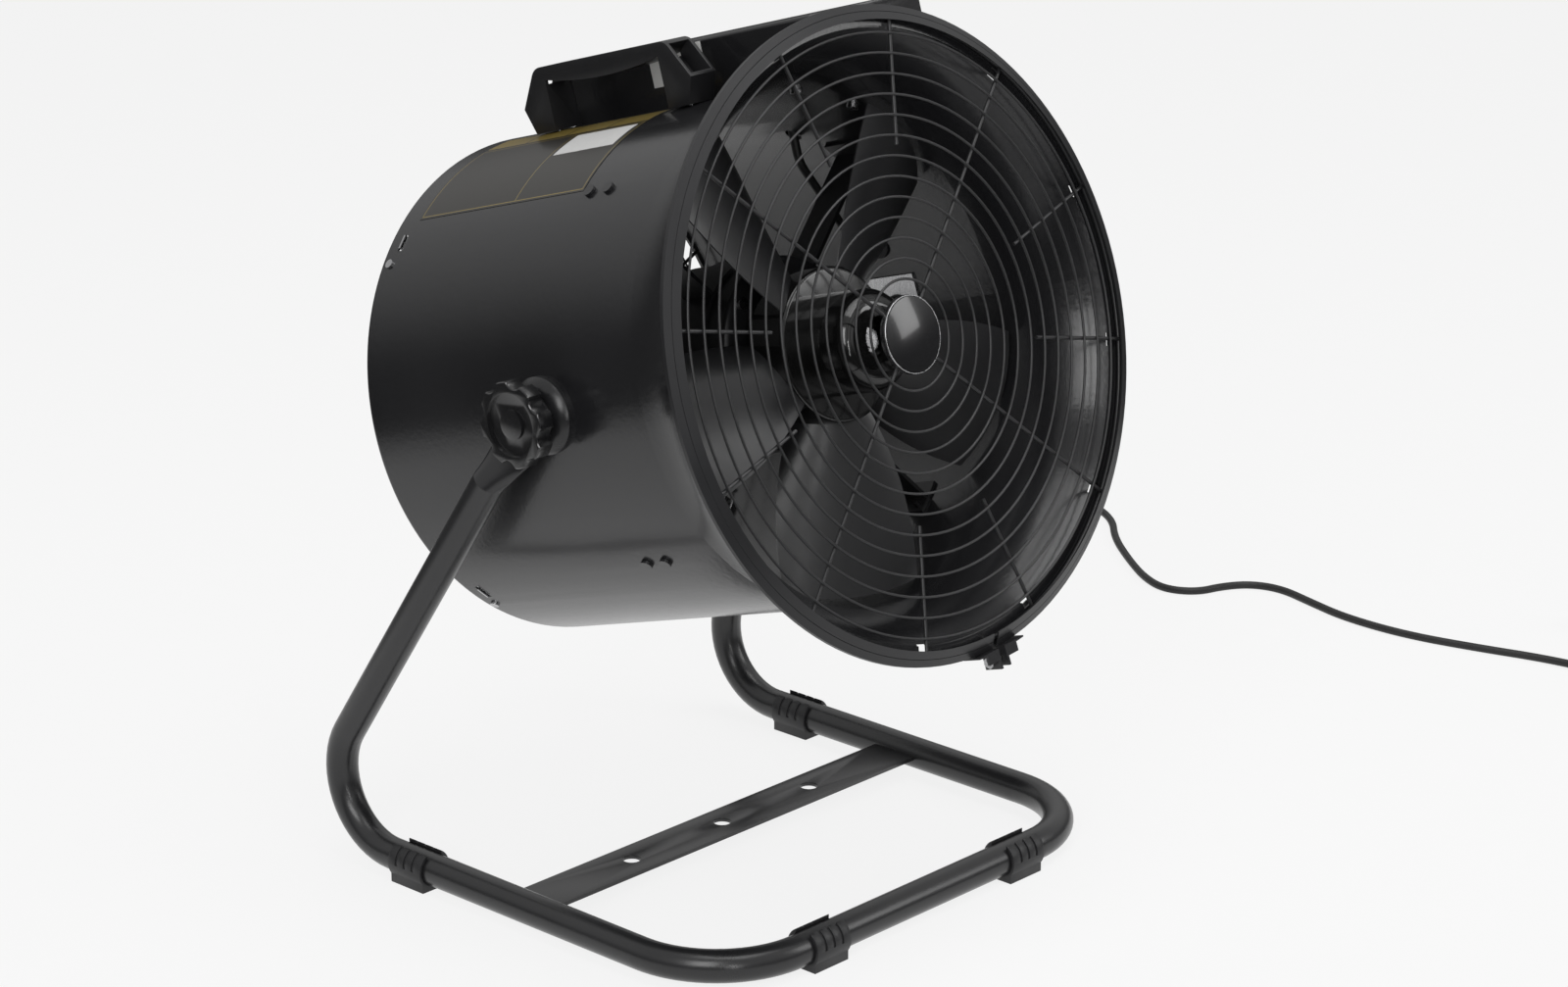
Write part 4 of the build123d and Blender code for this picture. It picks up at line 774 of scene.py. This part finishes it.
class FAN_OT_badge(bpy.types.Operator):
    """Turns the bare domed badge and its bright rim"""
    bl_idname = "fan.badge"
    bl_label = "Guard badge"

    def execute(self, context):
        rim = context.scene.fan_edges.badge_rim
        face = BADGE_R - rim
        fall = BADGE_FRONT - BADGE_CROWN - BADGE_THICKENING
        dome = [(face * k / BADGE_RINGS, BADGE_CROWN + fall * (k / BADGE_RINGS) ** 2)
                for k in range(BADGE_RINGS + 1)]
        back = BADGE_BACK + BADGE_STANDOFF
        outline = dome + [(face, back), (0, back), dome[0]]
        to_front = DRUM @ Matrix.Rotation(radians(90), 4, "X")
        badge = turned([(r, -h) for r, h in outline], steps=72)
        finished(badge, "badge_disc", "drum", "badge_face",
                 ("guard_badge",), to_front, smooth_deg=50)
        inner, corner = face + RIM_GAP, BADGE_FRONT + RIM_CORNER
        ring_outline = [(inner, BADGE_BACK), (BADGE_R, BADGE_BACK), (BADGE_R, corner),
                        (BADGE_R - RIM_CHAMFER, BADGE_FRONT),
                        (inner + RIM_CHAMFER, BADGE_FRONT), (inner, corner),
                        (inner, BADGE_BACK)]
        ring = turned([(r, -h) for r, h in ring_outline], steps=72)
        finished(ring, "badge_rim", "drum", "bright_steel", (), to_front,
                 smooth_deg=50)
        return {"FINISHED"}


class FAN_OT_labels(bpy.types.Operator):
    """Lays the bare panel and the blank labels on the drum and the box"""
    bl_idname = "fan.labels"
    bl_label = "Bare labels"

    def execute(self, context):
        thick = context.scene.fan_labels.thickness
        y0, y1, a0, a1 = PANEL
        sheet = drum_sheet(y0, y1, a0, a1, PANEL_R, thick, PANEL_STEPS)
        finished(sheet, "drum_panel", "drum", "panel_ink", (), DRUM,
                 smooth_deg=60)
        white = drum_sheet(y0 + LABEL_FRONT_GAP, PANEL_SPLIT - LABEL_SPLIT_GAP, *LABEL_ANGLES,
                           PANEL_R + thick, thick, LABEL_STEPS)
        finished(white, "drum_blank_label", "drum", "label_white", (), DRUM,
                 smooth_deg=60)
        fresh()
        bpy.ops.mesh.primitive_cube_add(
            size=1, location=(BOX_LABEL_FACE - thick, BOX_LABEL_Y, BOX_LABEL_Z),
            scale=(thick * 2, BOX_LABEL_LENGTH, BOX_LABEL_WIDTH))
        label = bpy.context.object
        bpy.ops.object.transform_apply(location=True, rotation=False, scale=True)
        bpy.ops.object.mode_set(mode="EDIT")
        bpy.ops.mesh.select_all(action="SELECT")
        bpy.ops.mesh.bevel(offset=thick * 0.4, segments=2, affect="EDGES")
        bpy.ops.object.mode_set(mode="OBJECT")
        finished(label, "box_blank_label", "drum", "label_white", (), DRUM)
        return {"FINISHED"}


def soft_lamp(name, place, aim, width, height, watts):
    """An area lamp aimed at a point."""
    fresh()
    bpy.ops.object.light_add(type="AREA", location=place)
    lamp = bpy.context.object
    lamp.name = name
    lamp.data.shape = "RECTANGLE"
    lamp.data.size = width
    lamp.data.size_y = height
    lamp.data.energy = watts
    lamp.rotation_euler = (Vector(aim) - Vector(place)).to_track_quat("-Z", "Y").to_euler()
    return lamp


def pale_floor(name):
    """A pale floor that keeps its shadow and shows near white to the camera."""
    floor = Finish(name)
    tree = floor.tree
    seen = floor.node("ShaderNodeLightPath")
    camera, glossy = (Value(floor, seen.outputs[k]) for k in ("Is Camera Ray", "Is Glossy Ray"))
    parts = floor.node("ShaderNodeSeparateXYZ", None, {"Vector": floor.place()})
    x, y = Value(floor, parts.outputs[0]), Value(floor, parts.outputs[1])
    far = (x * x + y * y).math("SQRT").above(FLOOR_FALL_R, FLOOR_FALL_SOFTNESS)
    glow = floor.node("ShaderNodeEmission", None, {"Color": (1, 1, 1, 1)})
    floor.feed(glow.inputs["Strength"], camera + glossy * (FLOOR_MIRRORED - far * FLOOR_FALL))
    share = camera * FLOOR_GLOW_SHARE + glossy
    both = floor.node("ShaderNodeMixShader")
    floor.feed(both.inputs[0], share)
    tree.links.new(floor.shader.outputs[0], both.inputs[1])
    tree.links.new(glow.outputs[0], both.inputs[2])
    tree.links.new(both.outputs[0], tree.nodes["Material Output"].inputs["Surface"])
    grain = floor.noise(0.03, detail=3)
    return floor.surface(floor.mix(grain, (0.84, 0.84, 0.84), (0.88, 0.88, 0.88)), 0.9)


class FAN_OT_studio(bpy.types.Operator):
    """Builds the studio: camera, pale floor, soft lamps and the light from all round"""
    bl_idname = "fan.studio"
    bl_label = "Studio"

    def execute(self, context):
        studio = context.scene.fan_studio
        fresh()
        bpy.ops.mesh.primitive_plane_add(size=FLOOR_SIZE, location=(0, 0, 0))
        floor = bpy.context.object
        floor.name = "studio_floor"
        floor.data.materials.append(pale_floor("floor_pale"))

        data = bpy.data.cameras.new("camera")
        data.lens = studio.lens
        data.sensor_width = CAMERA_SENSOR
        data.clip_end = CAMERA_REACH
        camera = bpy.data.objects.new("camera", data)
        context.scene.collection.objects.link(camera)
        turn = (CAMERA_AIM - CAMERA_PLACE).to_track_quat("-Z", "Y").to_matrix().to_4x4()
        camera.matrix_world = Matrix.Translation(CAMERA_PLACE) @ turn
        context.scene.camera = camera

        for name, place, aim, width, height, watts in LAMPS:
            soft_lamp(name, place, aim, width, height, getattr(studio, watts))

        world = context.scene.world or bpy.data.worlds.new("studio_air")
        context.scene.world = world
        world.use_nodes = True
        world.node_tree.nodes.clear()
        air = Finish("studio_air", world)
        seen = air.node("ShaderNodeLightPath")
        camera_ray = Value(air, seen.outputs["Is Camera Ray"])
        glossy_ray = Value(air, seen.outputs["Is Glossy Ray"])
        parts = air.node("ShaderNodeSeparateXYZ", None,
                         {"Vector": air.coordinates.outputs["Generated"]})
        above = Value(air, parts.outputs[2]).above(AIR_EDGE, AIR_SOFTNESS)
        level = camera_ray + glossy_ray * (AIR_LOW + above * AIR_RISE)
        level = level + (1 - camera_ray) * (1 - glossy_ray) * studio.ambient
        glow = air.node("ShaderNodeBackground", None, {"Color": (1, 1, 1, 1)})
        air.feed(glow.inputs["Strength"], level)
        output = air.node("ShaderNodeOutputWorld")
        air.tree.links.new(glow.outputs[0], output.inputs["Surface"])
        context.scene.view_settings.view_transform = "Standard"
        return {"FINISHED"}


class FAN_PT_panel(bpy.types.Panel):
    """The fan's tools, in the order in which they are used"""
    bl_idname = "FAN_PT_panel"
    bl_label = "Stage effect fan"
    bl_space_type = "VIEW_3D"
    bl_region_type = "UI"
    bl_category = "Fan"

    def draw(self, context):
        for name in GROUPS:
            box = self.layout.box()
            settings = getattr(context.scene, name)
            for key in settings.__annotations__:
                box.prop(settings, key)
        for operator in OPERATORS:
            self.layout.operator(operator.bl_idname)


GROUPS = {
    "fan_paint": FanPaint,
    "fan_labels": FanLabels,
    "fan_cord": FanCord,
    "fan_edges": FanEdges,
    "fan_studio": FanStudio,
}
OPERATORS = (FAN_OT_studio, FAN_OT_finishes, FAN_OT_cord, FAN_OT_gland, FAN_OT_rounded,
             FAN_OT_badge, FAN_OT_labels)


def register():
    for name, kind in GROUPS.items():
        bpy.utils.register_class(kind)
        setattr(bpy.types.Scene, name, bpy.props.PointerProperty(type=kind))
    for operator in OPERATORS:
        bpy.utils.register_class(operator)
    bpy.utils.register_class(FAN_PT_panel)


def unregister():
    bpy.utils.unregister_class(FAN_PT_panel)
    for operator in reversed(OPERATORS):
        bpy.utils.unregister_class(operator)
    for name, kind in GROUPS.items():
        delattr(bpy.types.Scene, name)
        bpy.utils.unregister_class(kind)


def main():
    register()
    bpy.ops.fan.studio()
    bpy.ops.fan.finishes()
    bpy.ops.fan.cord()
    bpy.ops.fan.gland()
    bpy.ops.fan.rounded()
    bpy.ops.fan.badge()
    bpy.ops.fan.labels()
    fresh()


if __name__ == "__main__":
    main()
